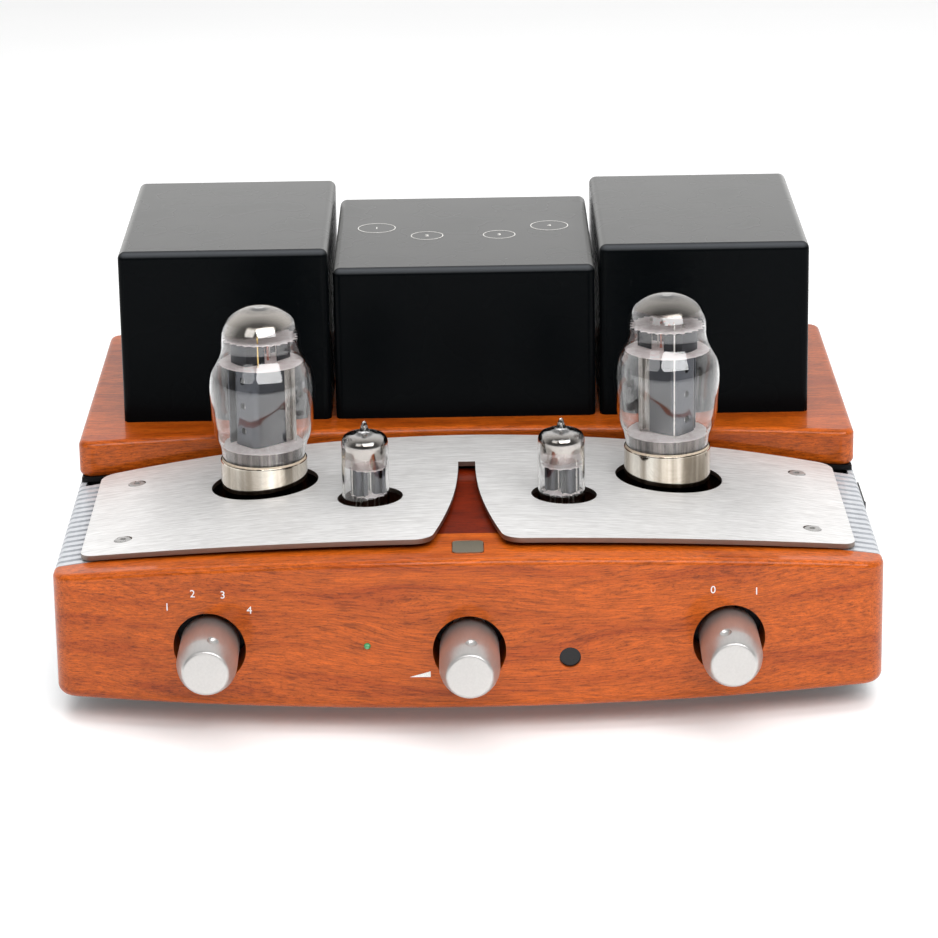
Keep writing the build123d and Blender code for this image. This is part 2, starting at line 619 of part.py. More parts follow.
def badge():
    x0, x1 = BADGE_X
    y0, y1 = BADGE_Y
    plate = block(x0 + 0.3, x1 - 0.3, y0 + 0.3, y1 - 0.3, BADGE_FLOOR, FRONT_TOP + 0.35)
    return fillet(upright(plate), 2.3)


# ---- boards ----
def main_board():
    """Printed board on four pillars, with its resistors' and small capacitors' outlines."""
    x0, x1, y0, y1 = BOARD
    z = BOARD_Z
    board = block(x0, x1, y0, y1, z, z + 1.6)
    for px in (x0 + 8, x1 - 8):
        for py in (y0 + 7, y1 - 7):
            board = board + post(px, py, BODY_BOTTOM + FLOOR_T, z, 3)
    for i in range(9):
        board = board + rod_x(y0 + 10, z + 3.1, -116 + i * 27, -104 + i * 27, 2.0)
    return board


def filter_capacitors():
    """Four electrolytic cans lying behind the board, on their own cradle block."""
    cans = []
    for i in range(4):
        x = (i - 1.5) * CAPACITOR_PITCH
        can = rod_y(x, 30, 30, 95, CAPACITOR_R)
        can = fillet(can.edges().filter_by(GeomType.CIRCLE), 1.5)
        cans.append(can + block(x - 8, x + 8, 36, 88, 13, 20))
    return Compound(children=cans)


# ---- side rocker ----
def rocker_frame():
    x = SIDE_CREST
    flange = block(x, x + 1.2, ROCKER_Y - 14, ROCKER_Y + 14, ROCKER_Z - 8, ROCKER_Z + 8)
    flange = fillet(flange.edges().filter_by(Axis.X), 1.5)
    frame = flange + rocker_block(0, ROCKER_BODY[2])
    pit = block(x - 11, x + 2, ROCKER_Y - 11.2, ROCKER_Y + 11.2, ROCKER_Z - 5.6, ROCKER_Z + 5.6)
    pivot = Pos(ROCKER_PIVOT_X, ROCKER_Y, ROCKER_Z) * Cylinder(PIVOT_R, 13)
    return frame - pit - pivot


def power_rocker():
    """Rocker with a shallow V-shaped face, tilted so that its front half stands out."""
    half, root, wing, dip = 9.9, -5.2, 4.2, 2.6
    points = [(root, -5), (root, 5), (wing, half), (dip + 1.0, half * 0.5), (dip, 0),
              (dip + 1.0, -half * 0.5), (wing, -half)]
    key = extrude(make_face(Polyline(*points, close=True)), 5.3, both=True)
    key = key + Cylinder(PIVOT_R - RUNNING, 12.6)
    key = chamfer(key.edges().filter_by(Axis.Z).sort_by(Axis.X)[-2:], 0.6)
    return Pos(ROCKER_PIVOT_X, ROCKER_Y, ROCKER_Z) * Rot(0, 0, ROCKER_TILT / 2) * key


# ---- rear connections ----
def input_jacks():
    """Phono sockets: a flange, an outer barrel and an insulated centre hole."""
    jacks = []
    for x, z in JACKS:
        jack = rod_y(x, z, TERMINAL_Y, REAR_PANEL_Y + 4, 6.5)
        jack = jack + rod_y(x, z, REAR_PANEL_Y - 8, TERMINAL_Y, 4.9)
        jack = jack + rod_y(x, z, REAR_PANEL_Y + 4, REAR_PANEL_Y + 12, JACK_BARREL_R)
        jacks.append(jack - rod_y(x, z, REAR_PANEL_Y - 6, REAR_PANEL_Y + 14, JACK_HOLE_R))
    return Compound(children=jacks)


def speaker_posts():
    """Insulated feet and threaded studs of the loudspeaker terminals."""
    posts = []
    for x in POSTS_X:
        stud = rod_y(x, POST_Z, TERMINAL_Y, REAR_PANEL_Y + 6, 7.6)
        stud = stud + rod_y(x, POST_Z, REAR_PANEL_Y - 10, TERMINAL_Y, 3.9)
        posts.append(stud + rod_y(x, POST_Z, REAR_PANEL_Y + 6, REAR_PANEL_Y + 26, STUD_R))
    return Compound(children=posts)


def speaker_cap(x):
    """Knurled cap that runs on one stud."""
    y0 = REAR_PANEL_Y + 6.4
    body = rod_y(x, POST_Z, y0, REAR_END_Y, CAP_R)
    body = chamfer(body.edges().filter_by(GeomType.CIRCLE), 0.8)
    for px, pz in around(x, POST_Z, 12, CAP_R + 0.4):
        body = body - rod_y(px, pz, y0 + 6, REAR_END_Y + 1, 0.9)
    return body - rod_y(x, POST_Z, y0 - 1, REAR_PANEL_Y + 26.4, STUD_R + RUNNING)


def mains_inlet():
    """Three-pole appliance inlet with a slot for the fuse drawer under it."""
    x, z, y = INLET_X, INLET_Z, TERMINAL_Y
    body = block(x - 16.5, x + 16.5, y, y + 3, z - 19, z + 19)
    body = fillet(body.edges().filter_by(Axis.Y), 3)
    body = body + block(x - 13.6, x + 13.6, y - 26, y, z - 15.8, z + 15.8)
    well = block(x - 12.2, x + 12.2, y - 14, y + 5, z - 4.0, z + 14.2)
    body = body - chamfer(well.edges().filter_by(Axis.Y).sort_by(Axis.Z)[-2:], 4)
    body = body - block(x - 11.2, x + 11.2, y - 24, y + 5, z - 13.8, z - 6.2)
    for px, pz in ((-7, 3.2), (7, 3.2), (0, 7.6)):
        body = body + block(x + px - 1, x + px + 1, y - 15, y - 1.5, z + pz - 2, z + pz + 2)
    return body


def fuse_drawer():
    x, z, y = INLET_X, INLET_Z, TERMINAL_Y
    drawer = block(x - 11.05, x + 11.05, y - 23, y + 4.2, z - 13.65, z - 6.35)
    return drawer - block(x - 9, x + 9, y - 21, y - 1, z - 12.2, z)


keep("front_panel", front_panel())
keep("channel_inlay", channel_inlay())
keep("top_plate", top_plate())
keep("plate_screws", plate_screws())
keep("rear_platform", rear_platform())
keep("platform_spacer", platform_spacer())
both("side_panel_{}", side_panel)
keep("chassis_tray", chassis_tray())
keep("tube_deck", tube_deck())
keep("rear_panel", rear_panel())
keep("feet", feet())
both("cover_{}", side_cover)
keep("cover_centre", cover(-CENTRE_COVER[0], *CENTRE_COVER))
both("output_core_{}", output_core)
both("output_winding_{}", output_winding)
keep("mains_transformer", mains_transformer())
both("octal_socket_{}", octal_socket)
both("noval_socket_{}", noval_socket)
both("power_tube_{}_glass", power_glass)
both("power_tube_{}_collar", power_collar)
both("power_tube_{}_base", power_base)
both("power_tube_{}_electrodes", power_electrodes)
both("small_tube_{}_glass", small_glass)
both("small_tube_{}_electrodes", small_electrodes)
for name, x, angle in (("selector", -KNOB_X, SELECTOR_ANGLE), ("volume", 0, VOLUME_ANGLE),
                       ("monitor", KNOB_X, MONITOR_ANGLE)):
    keep(f"{name}_knob", knob(x, angle))
    keep(f"{name}_shaft", shaft(x))
keep("selector_switch", rotary_body(-KNOB_X, 15, 22))
keep("volume_pot", volume_pot())
keep("monitor_switch", rotary_body(KNOB_X, 13, 16))
keep("led", led())
keep("ir_window", ir_window())
keep("badge", badge())
keep("main_board", main_board())
keep("filter_capacitors", filter_capacitors())
keep("rocker_frame", rocker_frame())
keep("power_rocker", power_rocker())
keep("mains_inlet", mains_inlet())
keep("fuse_drawer", fuse_drawer())
keep("input_jacks", input_jacks())
keep("speaker_posts", speaker_posts())
for i, x in enumerate(POSTS_X):
    keep(f"speaker_cap_{i + 1}", speaker_cap(x))

os.makedirs("parts", exist_ok=True)
for name, shape in nodes.items():
    export_step(shape, f"parts/{name}.step")
print(len(nodes), "nodes")
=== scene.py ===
import json
from math import cos, pi, radians, sin, sqrt

import bmesh
import bpy
from mathutils import Matrix, Vector
from mathutils.bvhtree import BVHTree


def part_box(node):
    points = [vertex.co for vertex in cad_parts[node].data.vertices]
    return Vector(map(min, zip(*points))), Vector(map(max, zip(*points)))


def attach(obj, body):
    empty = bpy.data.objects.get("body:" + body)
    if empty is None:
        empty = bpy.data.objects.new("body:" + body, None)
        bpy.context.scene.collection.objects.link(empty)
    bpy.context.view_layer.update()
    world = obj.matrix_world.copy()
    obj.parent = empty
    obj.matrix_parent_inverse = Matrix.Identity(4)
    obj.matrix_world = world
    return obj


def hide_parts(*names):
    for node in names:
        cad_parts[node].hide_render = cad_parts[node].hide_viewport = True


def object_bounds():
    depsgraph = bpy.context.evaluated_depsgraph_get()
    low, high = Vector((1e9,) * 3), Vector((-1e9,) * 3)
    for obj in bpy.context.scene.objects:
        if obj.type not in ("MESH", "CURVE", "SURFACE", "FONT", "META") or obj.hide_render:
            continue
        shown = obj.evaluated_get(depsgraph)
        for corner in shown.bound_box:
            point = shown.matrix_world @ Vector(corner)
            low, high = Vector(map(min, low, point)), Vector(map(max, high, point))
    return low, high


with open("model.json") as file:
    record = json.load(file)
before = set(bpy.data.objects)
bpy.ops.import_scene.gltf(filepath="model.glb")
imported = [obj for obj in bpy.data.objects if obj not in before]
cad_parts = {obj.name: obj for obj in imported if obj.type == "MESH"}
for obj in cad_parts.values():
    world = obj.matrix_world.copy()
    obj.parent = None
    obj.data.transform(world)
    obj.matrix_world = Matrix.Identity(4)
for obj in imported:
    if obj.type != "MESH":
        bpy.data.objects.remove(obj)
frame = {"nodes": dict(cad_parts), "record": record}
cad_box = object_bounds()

# The looks of a valve amplifier. Metres, +X right, +Y back, +Z up, in the CAD model's own frame.
MM = 0.001
ROUND = 72                  # segments round a turned piece
AXIS = 1e-7                 # a point of a turned outline nearer to its axis than this is on it
PRINT_GAP = 0.06 * MM       # from a surface to the underside of print on it
PRINT_T = 0.08 * MM         # thickness of print


# ============================== shader helpers ==============================
class Nodes:
    """Short calls for the nodes of one tree."""

    def __init__(self, tree):
        self.tree = tree

    def node(self, kind, **settings):
        made = self.tree.nodes.new(kind)
        for key, value in settings.items():
            setattr(made, key, value)
        return made

    def link(self, source, target):
        self.tree.links.new(source, target)

    def give(self, socket, value):
        """Feed a node's socket from another node, or set it to a colour or a number."""
        if isinstance(value, bpy.types.NodeSocket):
            self.link(value, socket)
        else:
            socket.default_value = (*value, 1.0) if isinstance(value, tuple) else value

    def ramp(self, value, *stops):
        """A colour ramp from (place, colour) stops. A colour may be one number, for grey."""
        made = self.node("ShaderNodeValToRGB")
        self.link(value, made.inputs["Fac"])
        elements = made.color_ramp.elements
        while len(elements) < len(stops):
            elements.new(1.0)
        for element, (place, colour) in zip(elements, stops):
            element.position = place
            colour = (colour,) * 3 if isinstance(colour, (int, float)) else colour
            element.color = (*colour, 1.0)
        return made.outputs["Color"]

    def mix(self, factor, a, b, blend="MIX"):
        made = self.node("ShaderNodeMix", data_type="RGBA", blend_type=blend)
        for socket, value in ((made.inputs["Factor"], factor), (made.inputs[6], a), (made.inputs[7], b)):
            self.give(socket, value)
        return made.outputs[2]

    def math(self, operation, *values):
        made = self.node("ShaderNodeMath", operation=operation)
        for socket, value in zip(made.inputs, values):
            self.give(socket, value)
        return made.outputs[0]

    def axis(self, letter, vector):
        made = self.node("ShaderNodeSeparateXYZ")
        self.link(vector, made.inputs[0])
        return made.outputs[letter]


class Shader(Nodes):
    """A Principled material with short calls for the nodes that feed it."""

    def __init__(self, name, **values):
        self.material = bpy.data.materials.new(name)
        self.material.use_nodes = True
        super().__init__(self.material.node_tree)
        self.bsdf = self.tree.nodes["Principled BSDF"]
        for key, value in values.items():
            self.bsdf.inputs[key.replace("_", " ")].default_value = value
        self.position = self.node("ShaderNodeTexCoord").outputs["Object"]

    def feed(self, socket, source):
        self.link(source, self.bsdf.inputs[socket])

    def stretched(self, x, y, z, source=None):
        """The position multiplied along each axis, so that a texture is drawn out along the small ones."""
        made = self.node("ShaderNodeVectorMath", operation="MULTIPLY")
        self.link(source or self.position, made.inputs[0])
        made.inputs[1].default_value = (x, y, z)
        return made.outputs[0]

    def noise(self, vector, detail=3.0, roughness=0.5, distortion=0.0):
        made = self.node("ShaderNodeTexNoise")
        self.link(vector, made.inputs["Vector"])
        made.inputs["Scale"].default_value = 1.0
        made.inputs["Detail"].default_value = detail
        made.inputs["Roughness"].default_value = roughness
        made.inputs["Distortion"].default_value = distortion
        return made.outputs["Fac"]

    def upward(self, low, high):
        """0 where the surface faces sideways or down, 1 where it faces up."""
        normal = self.node("ShaderNodeNewGeometry").outputs["Normal"]
        return self.ramp(self.axis("Z", normal), (low, 0.0), (high, 1.0))

    def bump(self, height, strength, distance):
        made = self.node("ShaderNodeBump")
        made.inputs["Strength"].default_value = strength
        made.inputs["Distance"].default_value = distance
        self.link(height, made.inputs["Height"])
        self.feed("Normal", made.outputs["Normal"])


# ============================== materials ==============================
def wood(name, dark, light):
    """Lacquered hardwood with its grain along X: growth figure, fine fibres and short dark pores."""
    s = Shader(name, Roughness=0.45, Specular_IOR_Level=0.16,
               Coat_Weight=0.40, Coat_Roughness=0.09, Coat_IOR=1.45)
    warp = s.noise(s.stretched(5, 20, 20), detail=2, distortion=0.3)
    offset = s.node("ShaderNodeCombineXYZ")
    s.link(s.math("MULTIPLY", warp, 0.035), offset.inputs["Z"])
    shifted = s.node("ShaderNodeVectorMath", operation="ADD")
    s.link(s.position, shifted.inputs[0])
    s.link(offset.outputs[0], shifted.inputs[1])
    figure = s.noise(s.stretched(9, 60, 150, shifted.outputs[0]), detail=3, roughness=0.6)
    fibre = s.noise(s.stretched(85, 900, 1500, shifted.outputs[0]), detail=4, roughness=0.75)
    pore = s.noise(s.stretched(650, 2600, 3300, shifted.outputs[0]), detail=1, roughness=0.4)
    cloud = s.noise(s.stretched(7, 12, 16), detail=2)
    base = s.ramp(figure, (0.30, dark), (0.50, light), (0.72, tuple(min(1, c * 1.15) for c in light)))
    fine = s.mix(0.80, base, s.ramp(fibre, (0.36, 0.34), (0.47, 0.74), (0.62, 1.15)), "MULTIPLY")
    tone = s.mix(0.30, fine, s.ramp(cloud, (0.3, 0.70), (0.7, 1.0)), "MULTIPLY")
    pores = s.ramp(pore, (0.31, 0.25), (0.43, 1.0))
    s.feed("Base Color", s.mix(0.45, tone, pores, "MULTIPLY"))
    s.bump(s.mix(0.5, fibre, pores), 0.06, 0.12 * MM)
    return s.material


def brushed_plate():
    """Bright steel, its faces brushed from left to right so finely that they scatter light, its edges polished and
    a dark warm brown that is a painted reflection of the wood under them.
    """
    s = Shader("brushed_plate", Specular_IOR_Level=0.5)
    long_lines = s.noise(s.stretched(45, 1300, 300), detail=3, roughness=0.6)
    short_lines = s.noise(s.stretched(170, 2200, 500), detail=2, roughness=0.5)
    lines = s.mix(0.5, long_lines, short_lines)
    face = s.upward(0.3, 0.9)
    steel = s.ramp(lines, (0.37, (0.60, 0.59, 0.58)), (0.50, (0.735, 0.725, 0.715)),
                   (0.63, (0.87, 0.865, 0.86)))
    # dark warm brown on the edges (0.27, 0.22, 0.19): painted reflection of the wood under the plate
    s.feed("Base Color", s.mix(face, (0.27, 0.22, 0.19), steel))
    s.feed("Metallic", s.ramp(face, (0.0, 1.0), (1.0, 0.45)))
    s.feed("Roughness", s.ramp(short_lines, (0.3, 0.38), (0.7, 0.52)))
    s.bump(lines, 0.06, 0.10 * MM)
    return s.material


def cover_coat():
    """Black crinkle coat with painted sheen and shade in the base colour of its upper faces.

    This painted base colour depends on the slant that it is seen at (grey from above, nearly black at a middle
    slant, light almost edge-on), so it differs from view to view.
    """
    s = Shader("black_texture_coat", Specular_IOR_Level=0.035)
    grain = s.noise(s.stretched(1700, 1700, 1700), detail=2, roughness=0.6)
    broad = s.noise(s.stretched(35, 35, 35), detail=2)
    slant = s.node("ShaderNodeLayerWeight").outputs["Facing"]
    # painted sheen and shade: the upper faces' base colour is set by the slant they are seen at
    painted_sheen = s.ramp(slant, (0.05, (0.078, 0.083, 0.090)), (0.68, (0.012, 0.012, 0.013)),
                  (0.95, (0.42, 0.42, 0.41)))
    black = s.ramp(grain, (0.35, (0.0016, 0.0022, 0.0027)), (0.65, (0.0021, 0.0028, 0.0034)))
    s.feed("Base Color", s.mix(s.upward(0.25, 0.80), black, painted_sheen))
    s.feed("Roughness", s.ramp(broad, (0.3, 0.24), (0.7, 0.30)))
    s.bump(grain, 0.10, 0.08 * MM)
    return s.material


def turned_metal(name, colour, low, high, strength=0.04, metallic=1.0):
    """Metal with fine marks left by turning or drawing, seen as uneven gloss."""
    s = Shader(name, Metallic=metallic)
    speckle = s.noise(s.stretched(900, 160, 900), detail=3, roughness=0.6)
    broad = s.noise(s.stretched(60, 60, 60), detail=2)
    shade = s.ramp(speckle, (0.3, tuple(c * 0.92 for c in colour)), (0.7, colour))
    s.feed("Base Color", s.mix(0.20, shade, s.ramp(broad, (0.3, 0.8), (0.7, 1.0)), "MULTIPLY"))
    s.feed("Roughness", s.ramp(speckle, (0.3, low), (0.7, high)))
    if strength:
        s.bump(speckle, strength, 0.05 * MM)
    return s.material


def streaked_metal(name, dark, middle, light, across, metallic=0.9, roughness=0.30):
    """Sheet metal with upright streaks. `across` is how closely they lie, per metre."""
    s = Shader(name, Metallic=metallic)
    streaks = s.noise(s.stretched(across, across, 0.04 * across), detail=3, roughness=0.55)
    s.feed("Base Color", s.ramp(streaks, (0.37, dark), (0.50, middle), (0.63, light)))
    s.feed("Roughness", s.ramp(streaks, (0.3, roughness), (0.7, roughness * 0.8)))
    return s.material


def ribbed_aluminium():
    """Pale anodised extrusion, its die lines running front to back."""
    s = Shader("ribbed_aluminium", Metallic=0.35)
    lines = s.noise(s.stretched(500, 30, 500), detail=2)
    s.feed("Base Color", s.ramp(lines, (0.3, (0.53, 0.545, 0.57)), (0.7, (0.60, 0.615, 0.64))))
    s.feed("Roughness", s.ramp(lines, (0.3, 0.36), (0.7, 0.44)))
    s.bump(lines, 0.04, 0.05 * MM)
    return s.material


def coated(name, colour, texture, low, high, specular=0.35, strength=0.25):
    """Sprayed or moulded skin with a fine pebble. `texture` is pebbles per metre."""
    s = Shader(name, Specular_IOR_Level=specular)
    pebble = s.noise(s.stretched(texture, texture, texture), detail=2, roughness=0.6)
    broad = s.noise(s.stretched(35, 35, 35), detail=2)
    s.feed("Base Color", s.ramp(pebble, (0.35, tuple(c * 0.8 for c in colour)), (0.65, colour)))
    s.feed("Roughness", s.ramp(broad, (0.3, low), (0.7, high)))
    s.bump(pebble, strength, 0.08 * MM)
    return s.material


def clear_glass():
    """Blown glass, faintly wavy."""
    s = Shader("tube_glass", Base_Color=(1, 1, 1, 1), Transmission_Weight=1.0, Roughness=0.0, IOR=1.46,
               Coat_Weight=0.4, Coat_IOR=1.6)
    wave = s.noise(s.stretched(55, 55, 30), detail=1)
    s.feed("Base Color", s.ramp(wave, (0.2, (0.965, 0.97, 0.975)), (0.8, 1.0)))
    s.bump(wave, 0.04, 0.5 * MM)
    return s.material


def getter_flash(name, centre, lower_edge, blur, lean, gloss, silver, haze=0.0, haze_depth=0.0):
    """Silvered inside of a valve's top, from a slanting lower edge upwards, with a smoky haze under it.

    `lower_edge` is its height at the valve's centre, and `lean` how fast it rises along X and along Y. The silver
    is full `blur` above it. `gloss` is its roughness. The haze goes down `haze_depth` and is `haze` opaque.
    """
    wander = 2 * MM         # how far the uneven edge strays
    s = Shader(name, Metallic=1.0, Roughness=gloss)
    uneven = s.noise(s.stretched(70, 70, 70), detail=2)
    x, y, z = (s.axis(letter, s.position) for letter in "XYZ")
    rise_x = s.math("MULTIPLY", s.math("SUBTRACT", x, centre.x), lean[0])
    rise_y = s.math("MULTIPLY", s.math("SUBTRACT", y, centre.y), lean[1])
    level = s.math("SUBTRACT", s.math("SUBTRACT", z, rise_x), rise_y)
    level = s.math("ADD", level, s.math("MULTIPLY", uneven, wander))
    place = s.node("ShaderNodeMapRange")
    s.link(level, place.inputs["Value"])
    place.inputs["From Min"].default_value = lower_edge - haze_depth + wander / 2
    place.inputs["From Max"].default_value = lower_edge + blur + wander / 2
    start = haze_depth / (haze_depth + blur)
    opacity = ((0.0, 0.0), (0.12, haze), (max(start, 0.13), haze), (1.0, 1.0))
    colour = ((0.0, (0.30, 0.21, 0.19)), (start, (0.42, 0.33, 0.30)), (1.0, silver))
    s.feed("Alpha", s.ramp(place.outputs["Result"], *opacity))
    s.feed("Base Color", s.ramp(place.outputs["Result"], *colour))
    return s.material


def mica():
    """Thin flaky sheet, milky and a little pink. It glows faintly, to be as bright as in the photograph."""
    s = Shader("mica", Roughness=0.45, Specular_IOR_Level=0.2, Emission_Strength=0.13)
    flake = s.noise(s.stretched(260, 260, 900), detail=4, roughness=0.65)
    s.feed("Base Color", s.ramp(flake, (0.3, (0.72, 0.62, 0.61)), (0.7, (0.95, 0.89, 0.88))))
    s.feed("Emission Color", s.ramp(flake, (0.3, (0.80, 0.68, 0.67)), (0.7, (1.0, 0.93, 0.92))))
    s.bump(flake, 0.12, 0.1 * MM)
    return s.material


def circuit_board():
    """Green solder resist over copper tracks."""
    s = Shader("circuit_board", Roughness=0.35)
    tracks = s.node("ShaderNodeTexBrick")
    s.link(s.stretched(60, 60, 60), tracks.inputs["Vector"])
    tracks.inputs["Color1"].default_value = (0.02, 0.16, 0.06, 1)
    tracks.inputs["Color2"].default_value = (0.03, 0.22, 0.08, 1)
    tracks.inputs["Mortar"].default_value = (0.05, 0.30, 0.12, 1)
    tracks.inputs["Mortar Size"].default_value = 0.03
    s.feed("Base Color", tracks.outputs["Color"])
    return s.material


def laminated():
    """Stacked steel laminations, seen as thin lines across Y."""
    s = Shader("lamination_steel", Metallic=0.7)
    sheets = s.noise(s.stretched(40, 2200, 40), detail=1)
    s.feed("Base Color", s.ramp(sheets, (0.35, 0.05), (0.65, 0.20)))
    s.feed("Roughness", s.ramp(sheets, (0.35, 0.5), (0.65, 0.35)))
    s.bump(sheets, 0.4, 0.2 * MM)
    return s.material


def green_lens():
    """Tinted plastic over a lamp that glows faintly."""
    s = Shader("green_lens", Roughness=0.25, Emission_Strength=0.10, Coat_Weight=1.0, Coat_Roughness=0.05)
    cloud = s.noise(s.stretched(900, 900, 900), detail=2)
    s.feed("Base Color", s.ramp(cloud, (0.3, (0.02, 0.16, 0.05)), (0.7, (0.08, 0.36, 0.14))))
    s.feed("Emission Color", s.ramp(cloud, (0.3, (0.02, 0.30, 0.08)), (0.7, (0.10, 0.60, 0.20))))
    return s.material


ORANGE_WOOD = wood("wood", (0.36, 0.056, 0.003), (0.51, 0.096, 0.006))
DARK_WOOD = wood("wood_dark", (0.09, 0.006, 0.0005), (0.17, 0.014, 0.001))
PLATE = brushed_plate()
KNOB = turned_metal("knob_metal", (0.545, 0.53, 0.515), 0.32, 0.36, 0.0, metallic=0.78)
SCREW = turned_metal("screw_steel", (0.46, 0.45, 0.44), 0.25, 0.40, metallic=0.5)
COLLAR = streaked_metal("nickel_collar", (0.30, 0.255, 0.20), (0.64, 0.58, 0.50), (0.88, 0.84, 0.76), 95,
                        1.0, 0.10)
SHAFT = turned_metal("shaft_steel", (0.55, 0.55, 0.55), 0.25, 0.40)
ROD = turned_metal("bright_rod", (0.74, 0.71, 0.68), 0.25, 0.34, 0.005)
COPPER = turned_metal("copper_rod", (0.72, 0.33, 0.26), 0.20, 0.35)
BADGE = turned_metal("badge_metal", (0.52, 0.46, 0.35), 0.30, 0.34, 0.0)
GRAPHITE = turned_metal("graphite_sheet", (0.045, 0.046, 0.052), 0.30, 0.45, 0.01)
SWITCH = turned_metal("switch_body", (0.45, 0.45, 0.46), 0.35, 0.50)
GOLD = turned_metal("gold_contact", (0.86, 0.62, 0.24), 0.15, 0.30)
CHASSIS = turned_metal("chassis_steel", (0.045, 0.045, 0.048), 0.35, 0.55)
ANODE = turned_metal("electrode_metal", (0.092, 0.097, 0.112), 0.30, 0.42, 0.02)
STEM = streaked_metal("stem_shield", (0.06, 0.045, 0.040), (0.16, 0.13, 0.115), (0.30, 0.255, 0.235), 420,
                      0.6, 0.35)
FOIL = streaked_metal("bright_foil", (0.34, 0.32, 0.30), (0.62, 0.59, 0.56), (0.85, 0.82, 0.79), 700, 0.8)
RIBS = ribbed_aluminium()
COVER = cover_coat()
BLACK_COAT = coated("black_coat", (0.010, 0.010, 0.011), 1200, 0.45, 0.60, specular=0.2)
RUBBER = coated("rubber", (0.020, 0.020, 0.020), 700, 0.75, 0.90)
PHENOLIC = coated("phenolic", (0.012, 0.009, 0.008), 500, 0.30, 0.50)
PLASTIC = coated("black_plastic", (0.014, 0.014, 0.015), 1500, 0.40, 0.55)
ROCKER = coated("rocker_plastic", (0.018, 0.018, 0.020), 900, 0.22, 0.34)
WINDOW = coated("dark_window", (0.004, 0.004, 0.005), 300, 0.12, 0.22)
CAP_BLACK = coated("cap_black", (0.015, 0.015, 0.016), 600, 0.18, 0.30)
CAP_RED = coated("cap_red", (0.42, 0.012, 0.012), 600, 0.18, 0.30)
SLEEVE = coated("capacitor_sleeve", (0.02, 0.035, 0.10), 250, 0.22, 0.35)
TAPE = coated("winding_wrap", (0.62, 0.42, 0.10), 180, 0.30, 0.45)
CEMENT = coated("cement", (0.70, 0.58, 0.45), 900, 0.70, 0.90)
INSULATOR = coated("insulator_white", (0.80, 0.79, 0.76), 900, 0.30, 0.45)
INSULATOR_RED = coated("insulator_red", (0.55, 0.020, 0.016), 900, 0.30, 0.45)
PRINT = coated("white_print", (0.86, 0.84, 0.80), 2500, 0.50, 0.65, strength=0.05)
# black without gloss: the grids' dark metal with painted shade inside the anode
GRID_BLACK_AND_SHADE = coated("grid_black_and_painted_shade", (0.005, 0.005, 0.006), 900, 0.80, 0.90, specular=0.0)
GLASS = clear_glass()
MICA = mica()

CAD_LOOKS = {
    "wood": ORANGE_WOOD, "wood_dark": DARK_WOOD, "brushed_plate": PLATE, "screw_steel": SCREW,
    "black_coat": BLACK_COAT, "ribbed_aluminium": RIBS, "chassis_steel": CHASSIS, "rubber": RUBBER,
    "black_texture_coat": COVER, "lamination_steel": laminated(), "winding_wrap": TAPE,
    "phenolic": PHENOLIC, "tube_glass": GLASS, "nickel_collar": COLLAR, "electrode_metal": ANODE,
    "knob_metal": KNOB, "shaft_steel": SHAFT, "switch_body": SWITCH, "green_lens": green_lens(),
    "dark_window": WINDOW, "badge_metal": BADGE, "circuit_board": circuit_board(),
    "capacitor_sleeve": SLEEVE, "black_plastic": PLASTIC, "rocker_plastic": ROCKER,
    "gold_contact": GOLD, "cap_black": CAP_BLACK, "cap_red": CAP_RED,
}


# ============================== mesh helpers ==============================
def linked(name, data):
    """An object in the scene that holds a mesh, curve, light or camera."""
    made = bpy.data.objects.new(name, data)
    bpy.context.scene.collection.objects.link(made)
    return made


def soften(mesh, crease):
    """Smooth shading, except at edges sharper than `crease` degrees."""
    mesh.shade_smooth()
    mesh.set_sharp_from_angle(angle=radians(crease))


def piece(name, mesh, material, body, smooth=40):
    """Link a mesh as a piece of the object, on its body and with its material."""
    made = linked(name, mesh)
    mesh.materials.clear()
    mesh.materials.append(material)
    if smooth:
        soften(mesh, smooth)
    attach(made, body)
    return made


def from_bmesh(bm, outward=True):
    """A mesh from a bmesh, its faces turned outward unless they are made to face the right way."""
    if outward:
        bmesh.ops.recalc_face_normals(bm, faces=bm.faces)
    mesh = bpy.data.meshes.new("mesh")
    bm.to_mesh(mesh)
    bm.free()
    return mesh


def evaluated_mesh(made):
    """A copy of an object's mesh with its modifiers applied, or of the mesh that its curve makes."""
    bpy.context.view_layer.update()
    return bpy.data.meshes.new_from_object(made.evaluated_get(bpy.context.evaluated_depsgraph_get()))


def in_mm(points):
    """Pairs of millimetres as pairs of metres."""
    return [(a * MM, b * MM) for a, b in points]


def around(r, angle):
    """The two coordinates of a point at radius r, `angle` radians round from the first axis."""
    return r * cos(angle), r * sin(angle)


def smoothed(points, steps=8):
    """A Catmull-Rom curve through (radius, height) points."""
    out = []
    ends = [points[0], *points, points[-1]]
    for a, b, c, d in zip(ends, ends[1:], ends[2:], ends[3:]):
        for i in range(steps):
            t = i / steps
            out.append(tuple(
                0.5 * (2 * b[k] + (c[k] - a[k]) * t + (2 * a[k] - 5 * b[k] + 4 * c[k] - d[k]) * t**2
                       + (3 * b[k] - a[k] - 3 * c[k] + d[k]) * t**3) for k in (0, 1)))
    return out + [points[-1]]


def lathe_into(bm, profile, origin, segments=ROUND):
    """Turn a closed (radius, height) outline about the upright line through origin. Points on the axis close it."""
    rings = []
    for r, h in profile:
        count = segments if r > AXIS else 1
        rings.append([bm.verts.new(origin + Vector((*around(r, 2 * pi * i / segments), h))) for i in range(count)])
    closed = len(rings[0]) > 1 or len(rings[-1]) > 1
    pairs = list(zip(rings, rings[1:])) + ([(rings[-1], rings[0])] if closed else [])
    for low, high in pairs:
        if len(low) == len(high) == 1:
            continue
        for i in range(segments):
            j = (i + 1) % segments
            corners = []
            for v in (low[i % len(low)], low[j % len(low)], high[j % len(high)], high[i % len(high)]):
                if v not in corners:
                    corners.append(v)
            bm.faces.new(corners)


def lathe(name, profile, origin, material, body):
    """A piece turned from a closed (radius, height) outline."""
    bm = bmesh.new()
    lathe_into(bm, profile, origin)
    return piece(name, from_bmesh(bm), material, body)


